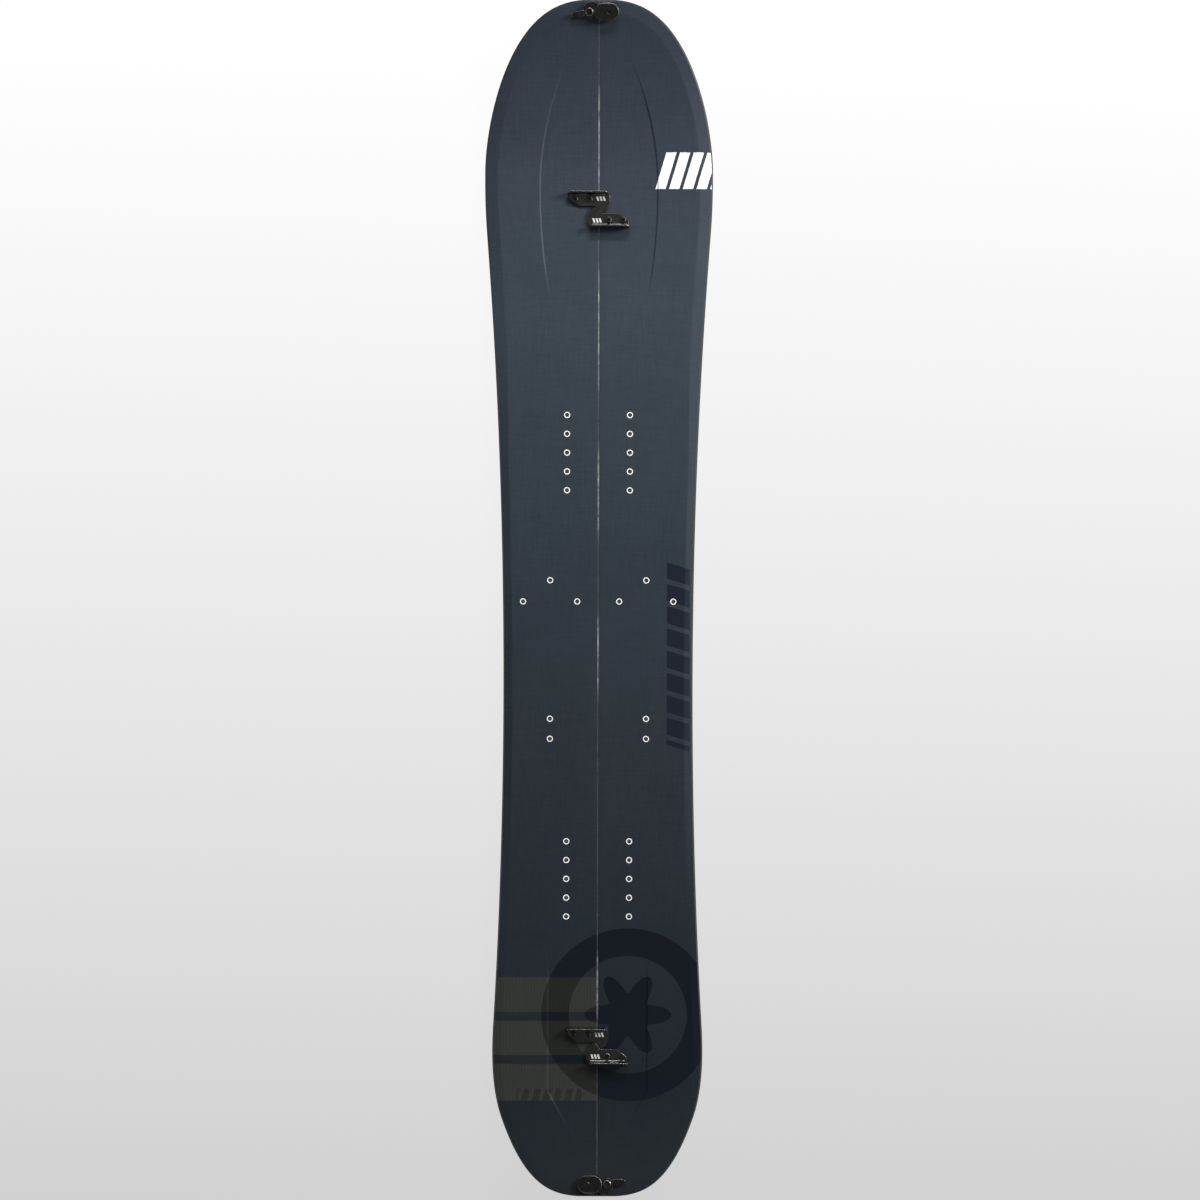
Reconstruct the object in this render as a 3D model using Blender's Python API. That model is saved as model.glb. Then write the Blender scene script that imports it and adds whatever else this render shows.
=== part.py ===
"""Splitboard, 160 cm: a snowboard that parts along its length into two touring skis.

Frame: +Z is up off the deck, +Y runs to the nose, the seam between the two halves lies in the plane X = 0, and the
base's two contact patches stand on Z = 0. Lengths below are in millimetres, and are turned into metres when a mesh
is made.

Each half is a sandwich: base, steel edges, lower laminate, wood core with sidewalls, upper laminate, topsheet.
Threaded inserts stand in the core. Two pairs of hooks bridge the seam, and a turning clip closes each tip.
"""

import math

import bmesh
import bpy
from mathutils import Matrix, Vector

MM = 0.001

# ---- plan shape -----------------------------------------------------------------------------------------------
HALF_LENGTH = 800.0
SEAM_GAP = 0.7  # between the two inner edges
WAIST_HALF = 127.8  # half of the board's waist width
WAIST_Y = -118.0  # the waist sits behind the middle
SIDECUT_RADIUS = 7950.0
NOSE_HALF = 154.1  # half of the widest nose width
NOSE_SHOULDER_Y = 579.0  # the nose curve starts here
NOSE_REACH = 221.6
NOSE_POWER, NOSE_ROUND = 1.707, 2.685
TAIL_HALF = 175.0  # the tail curve's own half width, which the sidecut trims
TAIL_SHOULDER_Y = -462.0
TAIL_REACH = 338.4
TAIL_POWER, TAIL_ROUND = 1.3, 3.328
NOSE_BLEND, TAIL_BLEND = 3.0, 20.0

# ---- side profile ---------------------------------------------------------------------------------------------
NOSE_FLAT = (470.0, 575.0)  # contact patch under the nose hooks
TAIL_FLAT = (-650.0, -555.0)  # contact patch under the tail hooks
CAMBER = 3.0
NOSE_RISE, TAIL_RISE = 45.0, 30.0
KICK_POWER = 1.8
CLIP_FLAT_FROM = 768.0  # beyond this each tip runs straight, so that a clip sits flat
MIDDLE_THICKNESS, HOOK_THICKNESS, TIP_THICKNESS = 9.5, 7.2, 5.6
THICK_ZONE = (-440.0, 300.0)

# ---- layers ---------------------------------------------------------------------------------------------------
GAP = 0.2  # glue line between layers
SIDE_GAP = 0.3  # glue line between pieces side by side
BASE_THICKNESS = 1.2
EDGE_BAR_WIDTH, EDGE_HEIGHT = 2.0, 1.9
EDGE_FLANGE_REACH, EDGE_FLANGE_THICKNESS = 6.0, 0.5
LAMINATE_THICKNESS = 0.5
TOPSHEET_THICKNESS = 0.5
CORE_FLOOR = EDGE_HEIGHT + GAP
LAMINATE_TOP = TOPSHEET_THICKNESS + GAP  # depths below the deck
CORE_TOP = LAMINATE_TOP + LAMINATE_THICKNESS + GAP
SIDEWALL_FOOT, SIDEWALL_TOP, OUTER_SIDEWALL_REACH = 0.6, 2.2, 8.0
INNER_SIDEWALL_REACH = 6.0
TOPSHEET_INSET, LAMINATE_INSET = 2.0, 2.1
BEVEL_MIDDLE, BEVEL_NOSE = 12.0, 17.5  # width of the sloping shoulder along the deck's outer edge
BEVEL_SHARE, BEVEL_TAIL_SHARE = 0.22, 0.06  # its drop, as a share of the thickness

# ---- stations along the board ---------------------------------------------------------------------------------
MIDDLE_STATIONS = (
    -650.0, -602.0, -555.0, -497.0, -440.0, -317.0, -210.0, -140.0, -30.0,
    50.0, 138.0, 258.0, 300.0, 385.0, 470.0, 522.0, 575.0,
)  # fmt: skip
NOSE_STEPS, TAIL_STEPS = 12, 10
TURN_WEIGHT = 70.0  # millimetres of run that one radian of turn counts for, so that steps gather where it curves

# ---- inserts --------------------------------------------------------------------------------------------------
PITCH = 25.4
PUCK_X, PUCK_ROWS = 42.4, 5
FRONT_PUCK_Y, REAR_PUCK_Y = 198.0, -377.0
TOUR_X, TOUR_Y, TOUR_RISE, TOUR_SPREAD = 64.8, -2.8, 28.6, 36.5
HEEL_X, HEEL_Y, HEEL_PITCH = 64.8, -174.5, 27.0
INSERT_RADIUS, INSERT_BORE, INSERT_FLANGE = 4.25, 2.5, 6.0
SMALL_INSERT_RADIUS, SMALL_BORE, SMALL_FLANGE = 3.6, 2.6, 4.4
FLANGE_THICKNESS = 1.0
BORE_FLOOR = 0.55
INSERT_DROP = 0.1  # an insert's mouth lies this far below the deck
HOLE_CLEARANCE = 0.25
HOLE_SIDES = 8

# ---- hooks ----------------------------------------------------------------------------------------------------
NOSE_HOOK_Y, TAIL_HOOK_Y = 526.0, -602.0
HOOK_LIFT, HOOK_THICK = 0.4, 3.0
HOOK_BACK_Y, HOOK_BACK_THICK, HOOK_BACK_HEIGHT = 24.0, 2.4, 13.0
HOOK_HALF_GAP = 0.3  # each claw stays this far off the line that they meet on
CLAW_TIP = (3.4, -4.6)
CLAW_RADIUS_X, CLAW_RADIUS_Y = 15.1, 15.0
HOOK_SCREWS = ((-32.5, 14.0), (-13.0, 14.0))
SCREW_SHANK, SCREW_HEAD, SCREW_HEAD_HEIGHT = 2.3, 4.2, 2.2

# ---- tip clips ------------------------------------------------------------------------------------------------
CLIP_Y = 784.3
PIVOT = (-13.4, 0.0)
PIVOT_RADIUS = 4.0
POST = (13.6, 0.0)  # the catch's screw
STUD, STUD_RADIUS = (-2.8, 0.0), 1.8
LEVER_REACH, TAB_REACH = 15.2, 24.4
CATCH_FROM_X, CAP_RADIUS = 2.6, 11.2
LEVER_FLOOR, LEVER_TOP, TAB_TOP = 1.7, 4.5, 5.3
CAP_FLOOR, CAP_TOP = 5.0, 7.6
BUSH_FLANGE_RADIUS, BUSH_FLANGE_TOP = 7.2, 1.4
RUNNING_GAP = 0.3
ROUND_SIDES = 12


def clamp(value, low=0.0, high=1.0):
    return max(low, min(high, value))


def smooth_min(a, b, blend):
    share = clamp(0.5 + 0.5 * (b - a) / blend)
    return b + (a - b) * share - blend * share * (1.0 - share)


def smooth_step(value, low, high):
    t = clamp((value - low) / (high - low))
    return t * t * (3.0 - 2.0 * t)


# ---- the board's shape ----------------------------------------------------------------------------------------
def half_width(y):
    """From the seam's middle to the outer edge."""
    side = WAIST_HALF + (y - WAIST_Y) ** 2 / (2.0 * SIDECUT_RADIUS)
    nose_run = clamp((y - NOSE_SHOULDER_Y) / NOSE_REACH)
    nose = NOSE_HALF * (1.0 - nose_run**NOSE_POWER) ** (1.0 / NOSE_ROUND)
    tail_run = clamp((TAIL_SHOULDER_Y - y) / TAIL_REACH)
    tail = TAIL_HALF * (1.0 - tail_run**TAIL_POWER) ** (1.0 / TAIL_ROUND)
    return smooth_min(smooth_min(side, nose, NOSE_BLEND), tail, TAIL_BLEND)


def kick(reach, rise, flat_end):
    """Height of a tip's upturn, `reach` past the contact patch, straight once a clip's zone starts."""
    run = HALF_LENGTH - abs(flat_end)
    bend_end = CLIP_FLAT_FROM - abs(flat_end)
    bent = min(reach, bend_end)
    height = rise * (bent / run) ** KICK_POWER
    if reach > bend_end:
        slope = rise * KICK_POWER / run * (bend_end / run) ** (KICK_POWER - 1.0)
        height += slope * (reach - bend_end)
    return height


def base_z(y):
    """Height of the underside."""
    if y > NOSE_FLAT[1]:
        return kick(y - NOSE_FLAT[1], NOSE_RISE, NOSE_FLAT[1])
    if y < TAIL_FLAT[0]:
        return kick(TAIL_FLAT[0] - y, TAIL_RISE, TAIL_FLAT[0])
    if TAIL_FLAT[1] < y < NOSE_FLAT[0]:
        share = (y - TAIL_FLAT[1]) / (NOSE_FLAT[0] - TAIL_FLAT[1])
        return CAMBER * math.sin(math.pi * share) ** 2
    return 0.0


def thickness(y):
    if y > NOSE_FLAT[1]:
        share = (y - NOSE_FLAT[1]) / (HALF_LENGTH - NOSE_FLAT[1])
        return HOOK_THICKNESS + (TIP_THICKNESS - HOOK_THICKNESS) * share
    if y < TAIL_FLAT[0]:
        share = (TAIL_FLAT[0] - y) / (HALF_LENGTH + TAIL_FLAT[0])
        return HOOK_THICKNESS + (TIP_THICKNESS - HOOK_THICKNESS) * share
    if y > THICK_ZONE[1]:
        share = clamp((y - THICK_ZONE[1]) / (NOSE_FLAT[0] - THICK_ZONE[1]))
    elif y < THICK_ZONE[0]:
        share = clamp((THICK_ZONE[0] - y) / (THICK_ZONE[0] - TAIL_FLAT[1]))
    else:
        share = 0.0
    return MIDDLE_THICKNESS + (HOOK_THICKNESS - MIDDLE_THICKNESS) * share


def bevel_width(y):
    return BEVEL_MIDDLE + (BEVEL_NOSE - BEVEL_MIDDLE) * smooth_step(y, 150.0, 380.0)


def deck_z(y, inset=1000.0):
    """Height of the deck, `inset` in from the outline: it slopes down along the outer edge."""
    share = BEVEL_TAIL_SHARE + (BEVEL_SHARE - BEVEL_TAIL_SHARE) * smooth_step(
        y, -420.0, -230.0
    )
    slope = clamp(1.0 - inset / bevel_width(y))
    return base_z(y) + thickness(y) * (1.0 - share * slope)


def above_base(height):
    return lambda y, inset: base_z(y) + height


def below_deck(depth):
    return lambda y, inset: deck_z(y, inset) - depth


def tip_stations(start, end, steps):
    """Y of the stations from `start` to the tip at `end`, spaced by run and by turn."""
    fine = 600
    ys = [end + (start - end) * (1.0 - k / fine) ** 2.2 for k in range(fine + 1)]
    points = [Vector((half_width(y), y)) for y in ys]
    reach, heading = [0.0], None
    for a, b in zip(points, points[1:]):
        step = b - a
        angle = math.atan2(step.y, step.x)
        turn = 0.0 if heading is None else abs(angle - heading)
        heading = angle
        reach.append(reach[-1] + step.length + TURN_WEIGHT * turn)
    found, k = [], 0
    for n in range(1, steps):
        wanted = reach[-1] * n / steps
        while reach[k] < wanted:
            k += 1
        found.append(ys[k])
    return [*found, end]


def outline():
    """The right half's outer edge from the tail's seam to the nose's seam, in plan."""
    tail = tip_stations(MIDDLE_STATIONS[0], -HALF_LENGTH, TAIL_STEPS)[::-1]
    nose = tip_stations(MIDDLE_STATIONS[-1], HALF_LENGTH, NOSE_STEPS)
    ys = [*tail, *MIDDLE_STATIONS, *nose]
    seam = SEAM_GAP / 2.0
    return [
        Vector((seam, -HALF_LENGTH)),
        *[Vector((half_width(y), y)) for y in ys],
        Vector((seam, HALF_LENGTH)),
    ]


CHAIN = outline()
STATION_YS = [point.y for point in CHAIN[1:-1]]


def offset_chain(inset_of, seam_x):
    """The outline moved in by inset_of(y), mitred at its corners and ended on x = seam_x."""
    moved = []
    for k, point in enumerate(CHAIN):
        inset = inset_of(point.y)
        if k in (0, len(CHAIN) - 1):
            sign = 1.0 if k == 0 else -1.0
            moved.append((seam_x, point.y + sign * inset, inset))
            continue
        before = (point - CHAIN[k - 1]).normalized()
        after = (CHAIN[k + 1] - point).normalized()
        left_before = Vector((-before.y, before.x))
        left_after = Vector((-after.y, after.x))
        mitre = (left_before + left_after) / (1.0 + left_before.dot(left_after))
        spot = point + mitre * inset
        moved.append((spot.x, spot.y, inset))
    return moved


# ---- making objects -------------------------------------------------------------------------------------------
def material(name, colour, roughness, metallic=0.0):
    made = bpy.data.materials.new(name)
    made.use_nodes = True
    shader = made.node_tree.nodes["Principled BSDF"]
    shader.inputs["Base Color"].default_value = (*colour, 1.0)
    shader.inputs["Roughness"].default_value = roughness
    shader.inputs["Metallic"].default_value = metallic
    made.diffuse_color = (*colour, 1.0)
    return made


def add_object(name, bm, finish, place=None, parent=None, helper=False):
    """Makes an object of bm, whose lengths are in millimetres, at the place given as a matrix in millimetres."""
    bmesh.ops.recalc_face_normals(bm, faces=bm.faces)
    mesh = bpy.data.meshes.new(name)
    bmesh.ops.scale(bm, vec=(MM, MM, MM), verts=bm.verts)
    bm.to_mesh(mesh)
    bm.free()
    mesh.shade_smooth()
    mesh.set_sharp_from_angle(angle=math.radians(35.0))
    made = bpy.data.objects.new(name, mesh)
    bpy.context.scene.collection.objects.link(made)
    if place is not None:
        moved = place.copy()
        moved.translation *= MM
        made.matrix_world = moved
    if finish is not None:
        mesh.materials.append(finish)
    if parent is not None:
        made.parent = parent
        made.matrix_parent_inverse = parent.matrix_world.inverted()
    if helper:
        made.hide_render = True
        made.display_type = "WIRE"
    return made


def boolean(target, tool, operation):
    made = target.modifiers.new(f"{operation.lower()}_{tool.name}", "BOOLEAN")
    made.solver = "EXACT"
    made.operation = operation
    made.object = tool


def quad(bm, a, b, c, d):
    bm.faces.new((a, b, c))
    bm.faces.new((a, c, d))


def add_sheet(name, side, insets, seam_x, low, high, finish, parent):
    """One layer of a half: chains at the given insets from outside in, then straight across to the seam."""
    bm = bmesh.new()
    surfaces = []
    for height in (low, high):
        chains = []
        for inset_of in insets:
            chains.append(
                [
                    bm.verts.new((side * x, y, height(y, inset)))
                    for x, y, inset in offset_chain(inset_of, seam_x)
                ]
            )
        last = chains[-1]
        seam = [last[0]]
        for vert in last[2:-2]:
            seam.append(bm.verts.new((side * seam_x, vert.co.y, vert.co.z)))
        seam.append(last[-1])
        for outer, inner in zip(chains, chains[1:]):
            for k in range(len(outer) - 1):
                quad(bm, outer[k], outer[k + 1], inner[k + 1], inner[k])
        across = last[1:-1]
        for k in range(len(across) - 1):
            quad(bm, across[k], across[k + 1], seam[k + 1], seam[k])
        rim = [*chains[0]]
        rim += [chain[-1] for chain in chains[1:]]
        rim += seam[-2:0:-1]
        rim += [chain[0] for chain in chains[::-1]]
        closed = []
        for vert in rim:
            if not closed or closed[-1] is not vert:
                closed.append(vert)
        if closed[0] is closed[-1]:
            closed.pop()
        surfaces.append(closed)
    floor, roof = surfaces
    for k in range(len(floor)):
        n = (k + 1) % len(floor)
        quad(bm, floor[k], floor[n], roof[n], roof[k])
    return add_object(name, bm, finish, parent=parent)


def add_sweep(name, side, profile, finish, parent, seam_x):
    """A section carried round the outline from seam to seam. profile holds (inset, height function) pairs."""
    bm = bmesh.new()
    loops = []
    for inset, height in profile:
        chain = offset_chain(lambda y, inset=inset: inset, seam_x)
        loops.append([bm.verts.new((side * x, y, height(y, d))) for x, y, d in chain])
    join_loops(bm, loops)
    return add_object(name, bm, finish, parent=parent)


def add_seam_strip(name, side, profile, reach, finish, parent):
    """A section carried straight along the seam. profile holds (distance from the seam plane, height function)."""
    bm = bmesh.new()
    ys = [-reach, *[y for y in STATION_YS if abs(y) < reach - 4.0], reach]
    loops = []
    for x, height in profile:
        loops.append([bm.verts.new((side * x, y, height(y, 1000.0))) for y in ys])
    join_loops(bm, loops)
    return add_object(name, bm, finish, parent=parent)


def join_loops(bm, loops):
    """Skins the long rails of a section, in order round it, and closes both ends."""
    for a, b in zip(loops, [*loops[1:], loops[0]]):
        for k in range(len(a) - 1):
            quad(bm, a[k], a[k + 1], b[k + 1], b[k])
    bm.faces.new([rail[0] for rail in loops])
    bm.faces.new([rail[-1] for rail in loops][::-1])


def circle(centre, radius, sides, start=None, sweep=math.tau):
    """Points round an arc. A full circle leaves out its last point, and starts half a side past +X."""
    full = math.isclose(sweep, math.tau)
    first = math.pi / sides if start is None else start
    count = sides if full else sides + 1
    return [
        (
            centre[0] + radius * math.cos(first + sweep * k / sides),
            centre[1] + radius * math.sin(first + sweep * k / sides),
        )
        for k in range(count)
    ]


def hull(points):
    """The convex outline round the points, counter-clockwise."""

    def chain(ordered):
        kept = []
        for p in ordered:
            while len(kept) > 1:
                (ax, ay), (bx, by) = kept[-2], kept[-1]
                if (bx - ax) * (p[1] - ay) - (by - ay) * (p[0] - ax) > 1e-6:
                    break
                kept.pop()
            kept.append(p)
        return kept[:-1]

    ordered = sorted((round(x, 6), round(y, 6)) for x, y in set(points))
    return chain(ordered) + chain(ordered[::-1])


def extrude(bm, points, low, high, axes="xyz"):
    """Adds a prism on the outline given. axes says which way the outline's two axes and the extrusion point."""
    order = {"xyz": lambda u, v, w: (u, v, w), "xzy": lambda u, v, w: (u, w, v)}[axes]
    floor = [bm.verts.new(order(u, v, low)) for u, v in points]
    roof = [bm.verts.new(order(u, v, high)) for u, v in points]
    bm.faces.new(floor[::-1])
    bm.faces.new(roof)
    for k in range(len(points)):
        n = (k + 1) % len(points)
        bm.faces.new((floor[k], floor[n], roof[n], roof[k]))


def add_prisms(name, outlines, low, high, finish, place, parent=None, helper=False):
    bm = bmesh.new()
    for points in outlines:
        extrude(bm, points, low, high)
    return add_object(name, bm, finish, place, parent, helper)


def add_turned(name, profile, sides, finish, place, parent):
    """A turned piece. profile holds (radius, height) pairs, from the axis back to the axis or closed on itself."""
    bm = bmesh.new()
    rings = []
    for radius, height in profile:
        if radius == 0.0:
            rings.append([bm.verts.new((0.0, 0.0, height))])
        else:
            spots = circle((0.0, 0.0), radius, sides)
            rings.append([bm.verts.new((x, y, height)) for x, y in spots])
    pairs = list(zip(rings, rings[1:]))
    if profile[0][0] != 0.0:
        pairs.append((rings[-1], rings[0]))
    for a, b in pairs:
        for k in range(sides):
            n = (k + 1) % sides
            if len(a) == 1:
                bm.faces.new((a[0], b[k], b[n]))
            elif len(b) == 1:
                bm.faces.new((a[k], a[n], b[0]))
            else:
                bm.faces.new((a[k], a[n], b[n], b[k]))
    return add_object(name, bm, finish, place, parent)


# ---- places on the deck ---------------------------------------------------------------------------------------
def deck_place(low_y, high_y, x, y):
    """A frame on the flat stretch of deck between two stations: local z leaves the deck, local y runs to the nose."""
    low, high = deck_z(low_y), deck_z(high_y)
    slope = (high - low) / (high_y - low_y)
    spot = Vector((x, y, low + slope * (y - low_y)))
    return Matrix.Translation(spot) @ Matrix.Rotation(math.atan(slope), 4, "X")


def depth_under(place, y):
    """How deep the core's floor lies along the place's own z, plus the layers below it."""
    square = place.to_3x3().col[2].z
    return CORE_FLOOR + (thickness(y) - CORE_FLOOR) * square


def turned_round(place):
    return place @ Matrix.Rotation(math.pi, 4, "Z")


def moved_by(place, x, y):
    return place @ Matrix.Translation(Vector((x, y, 0.0)))


# ---- inserts --------------------------------------------------------------------------------------------------
def add_insert_row(name, place, spots, depth, finish, parent, small=False):
    """Blind threaded inserts on one foot plate, and the two tools that make room for them in the layers."""
    radius, bore, foot = (
        (SMALL_INSERT_RADIUS, SMALL_BORE, SMALL_FLANGE)
        if small
        else (INSERT_RADIUS, INSERT_BORE, INSERT_FLANGE)
    )
    floor = CORE_FLOOR - depth
    if len(spots) == 1:
        profile = (
            (0.0, floor),
            (foot, floor),
            (foot, floor + FLANGE_THICKNESS),
            (radius, floor + FLANGE_THICKNESS),
            (radius, -INSERT_DROP),
            (bore, -INSERT_DROP),
            (bore, floor + BORE_FLOOR),
            (0.0, floor + BORE_FLOOR),
        )
        middle = moved_by(place, *spots[0])
        add_turned(name, profile, HOLE_SIDES, finish, middle, parent)
    else:
        feet = hull([p for s in spots for p in circle(s, foot, HOLE_SIDES)])
        row = add_prisms(
            name, [feet], floor, floor + FLANGE_THICKNESS, finish, place, parent
        )
        barrels = add_prisms(
            f"tool_{name}_barrels",
            [circle(s, radius, HOLE_SIDES) for s in spots],
            floor + 0.3,
            -INSERT_DROP,
            None,
            place,
            helper=True,
        )
        bores = add_prisms(
            f"tool_{name}_bores",
            [circle(s, bore, HOLE_SIDES) for s in spots],
            floor + BORE_FLOOR,
            2.0,
            None,
            place,
            helper=True,
        )
        boolean(row, barrels, "UNION")
        boolean(row, bores, "DIFFERENCE")
    hole = radius + HOLE_CLEARANCE
    pocket = foot + HOLE_CLEARANCE
    return (
        (place, [circle(s, hole, HOLE_SIDES) for s in spots], floor - 1.0, 4.0),
        (
            place,
            [hull([p for s in spots for p in circle(s, pocket, HOLE_SIDES)])],
            floor - 1.0,
            floor + FLANGE_THICKNESS + GAP,
        ),
    )


def add_tool(name, cuts):
    """One hidden mesh of all the prisms given, each in its own place."""
    bm = bmesh.new()
    for place, outlines, low, high in cuts:
        for points in outlines:
            fresh = bmesh.new()
            extrude(fresh, points, low, high)
            bmesh.ops.transform(fresh, matrix=place, verts=fresh.verts)
            copy = {v: bm.verts.new(v.co) for v in fresh.verts}
            for face in fresh.faces:
                bm.faces.new([copy[v] for v in face.verts])
            fresh.free()
    return add_object(name, bm, None, helper=True)


def insert_sets(side):
    """(name, place, spots, small) of each set of inserts in one half, spots in the place's own frame."""
    puck = [((0.0), (k - (PUCK_ROWS - 1) / 2.0) * PITCH) for k in range(PUCK_ROWS)]
    tour = [(0.0, TOUR_RISE), (-TOUR_SPREAD, 0.0), (TOUR_SPREAD, 0.0)]
    heel = [(0.0, -HEEL_PITCH / 2.0), (0.0, HEEL_PITCH / 2.0)]
    return (
        (
            "front_binding_inserts",
            deck_place(138.0, 258.0, side * PUCK_X, FRONT_PUCK_Y),
            puck,
        ),
        (
            "rear_binding_inserts",
            deck_place(-440.0, -317.0, side * PUCK_X, REAR_PUCK_Y),
            puck,
        ),
        ("touring_inserts", deck_place(-30.0, 50.0, side * TOUR_X, TOUR_Y), tour),
        (
            "heel_riser_inserts",
            deck_place(-210.0, -140.0, side * HEEL_X, HEEL_Y),
            heel,
        ),
    )


# ---- screws, hooks and clips ----------------------------------------------------------------------------------
def add_screw(name, place, seat, head, depth, finish, parent, height=SCREW_HEAD_HEIGHT):
    """A low-headed machine screw whose head sits on `seat` and whose end stays off the insert's blind floor."""
    end = CORE_FLOOR - depth + BORE_FLOOR + 0.4
    profile = (
        (0.0, end),
        (SCREW_SHANK, end),
        (SCREW_SHANK, seat + GAP),
        (head, seat + GAP),
        (head, seat + GAP + 0.65 * height),
        (head - 0.7, seat + GAP + height),
        (1.9, seat + GAP + height),
        (1.9, seat + GAP + 0.4 * height),
        (0.0, seat + GAP + 0.4 * height),
    )
    return add_turned(name, profile, HOLE_SIDES, finish, place, parent)


def hook_outline():
    """The nose-side hook's plate, seen from above, round the middle of its pair: claw at the right."""
    along = Vector((CLAW_TIP[0], CLAW_TIP[1])).normalized()
    off = Vector((-along.y, along.x)) * HOOK_HALF_GAP
    claw = [
        (
            CLAW_RADIUS_X * math.cos(t) ** 0.9,
            CLAW_RADIUS_Y - (CLAW_RADIUS_Y - CLAW_TIP[1]) * math.sin(t),
        )
        for t in [math.radians(a) for a in (0.0, 18.0, 36.0, 54.0, 68.0)]
    ]
    throat_y = -CLAW_TIP[1] + 0.4
    throat_x = off.x - (throat_y - off.y) * CLAW_TIP[0] / -CLAW_TIP[1]
    right = [(12.0, HOOK_BACK_Y - 0.2), (14.4, 19.6), *claw]
    point = [(CLAW_TIP[0], CLAW_TIP[1]), (CLAW_TIP[0] - 0.5, CLAW_TIP[1] + 0.3)]
    left = [
        (throat_x, throat_y),
        (-26.0, throat_y),
        (-37.0, 12.0),
        (-40.0, 16.0),
        (-40.0, HOOK_BACK_Y - 0.2),
    ]
    return (right + point + left)[::-1]


def add_hook(name, place, depth, finish, screw_finish, insert_finish, parent):
    """A hook with its two screws and their inserts. Returns the tools for the layers below."""
    hook = add_prisms(
        name, [hook_outline()], HOOK_LIFT, HOOK_LIFT + HOOK_THICK, finish, place, parent
    )
    bm = bmesh.new()
    top = HOOK_BACK_HEIGHT
    back = [
        (-42.0, HOOK_LIFT),
        (12.0, HOOK_LIFT),
        (12.0, top - 3.0),
        (9.5, top),
        (-38.5, top),
        (-42.0, top - 4.0),
    ]
    extrude(bm, back, HOOK_BACK_Y - HOOK_BACK_THICK, HOOK_BACK_Y, axes="xzy")
    wall = add_object(f"tool_{name}_back", bm, None, place, helper=True)
    boolean(hook, wall, "UNION")
    holes = add_prisms(
        f"tool_{name}_holes",
        [circle(s, SMALL_BORE, HOLE_SIDES) for s in HOOK_SCREWS],
        HOOK_LIFT - 1.0,
        HOOK_LIFT + HOOK_THICK + 1.0,
        None,
        place,
        helper=True,
    )
    boolean(hook, holes, "DIFFERENCE")
    for spot, which in zip(HOOK_SCREWS, ("outer", "inner")):
        add_screw(
            f"{name}_screw_{which}",
            moved_by(place, *spot),
            HOOK_LIFT + HOOK_THICK,
            SCREW_HEAD,
            depth,
            screw_finish,
            parent,
        )
    return add_insert_row(
        f"{name}_inserts", place, HOOK_SCREWS, depth, insert_finish, parent, small=True
    )


def lever_outline():
    """The lever from above, round the middle of its clip: an egg-shaped plate that turns on the pivot.

    Its slot takes the stud that hangs from the catch's cap. The mouth faces along the path by which the halves part,
    and its lip lies outside the circle that the stud's far side makes round the pivot, so that the lever can swing
    open. No point is further from the pivot than LEVER_REACH, so the lever barely crosses the seam.
    """
    slot = STUD_RADIUS + 0.4
    rim = [
        (PIVOT[0] + LEVER_REACH * share * math.cos(turn), LEVER_REACH * share * math.sin(turn))
        for turn, share in (
            (math.radians(degrees), share)
            for degrees, share in (
                (-4.0, 1.0), (2.0, 1.0), (19.0, 1.0), (38.0, 0.99), (57.0, 0.97), (78.0, 0.89),
                (102.0, 0.78), (131.0, 0.65), (176.0, 0.55),
            )  # fmt: skip
        )
    ]
    hub = circle(PIVOT, 8.2, 5, start=math.radians(192.0), sweep=math.radians(120.0))
    near = [(PIVOT[0] + 7.5, -3.4)]
    round_stud = circle(STUD, slot, 5, start=math.pi, sweep=-math.radians(158.0))
    lip = [(STUD[0] + 3.15, -1.0)]
    return rim + hub + near + round_stud + lip


def catch_outline():
    """The catch's base from above: it stands on its own half, and shows as a rim round the cap's end."""
    edge = CATCH_FROM_X
    return [
        (edge, -10.6),
        (16.0, -10.6),
        (21.6, -9.2),
        (25.2, -5.6),
        (26.6, -0.8),
        (26.2, 4.0),
        (23.4, 8.4),
        (18.4, 11.4),
        (10.0, 12.7),
        (edge, 13.0),
    ]


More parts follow.
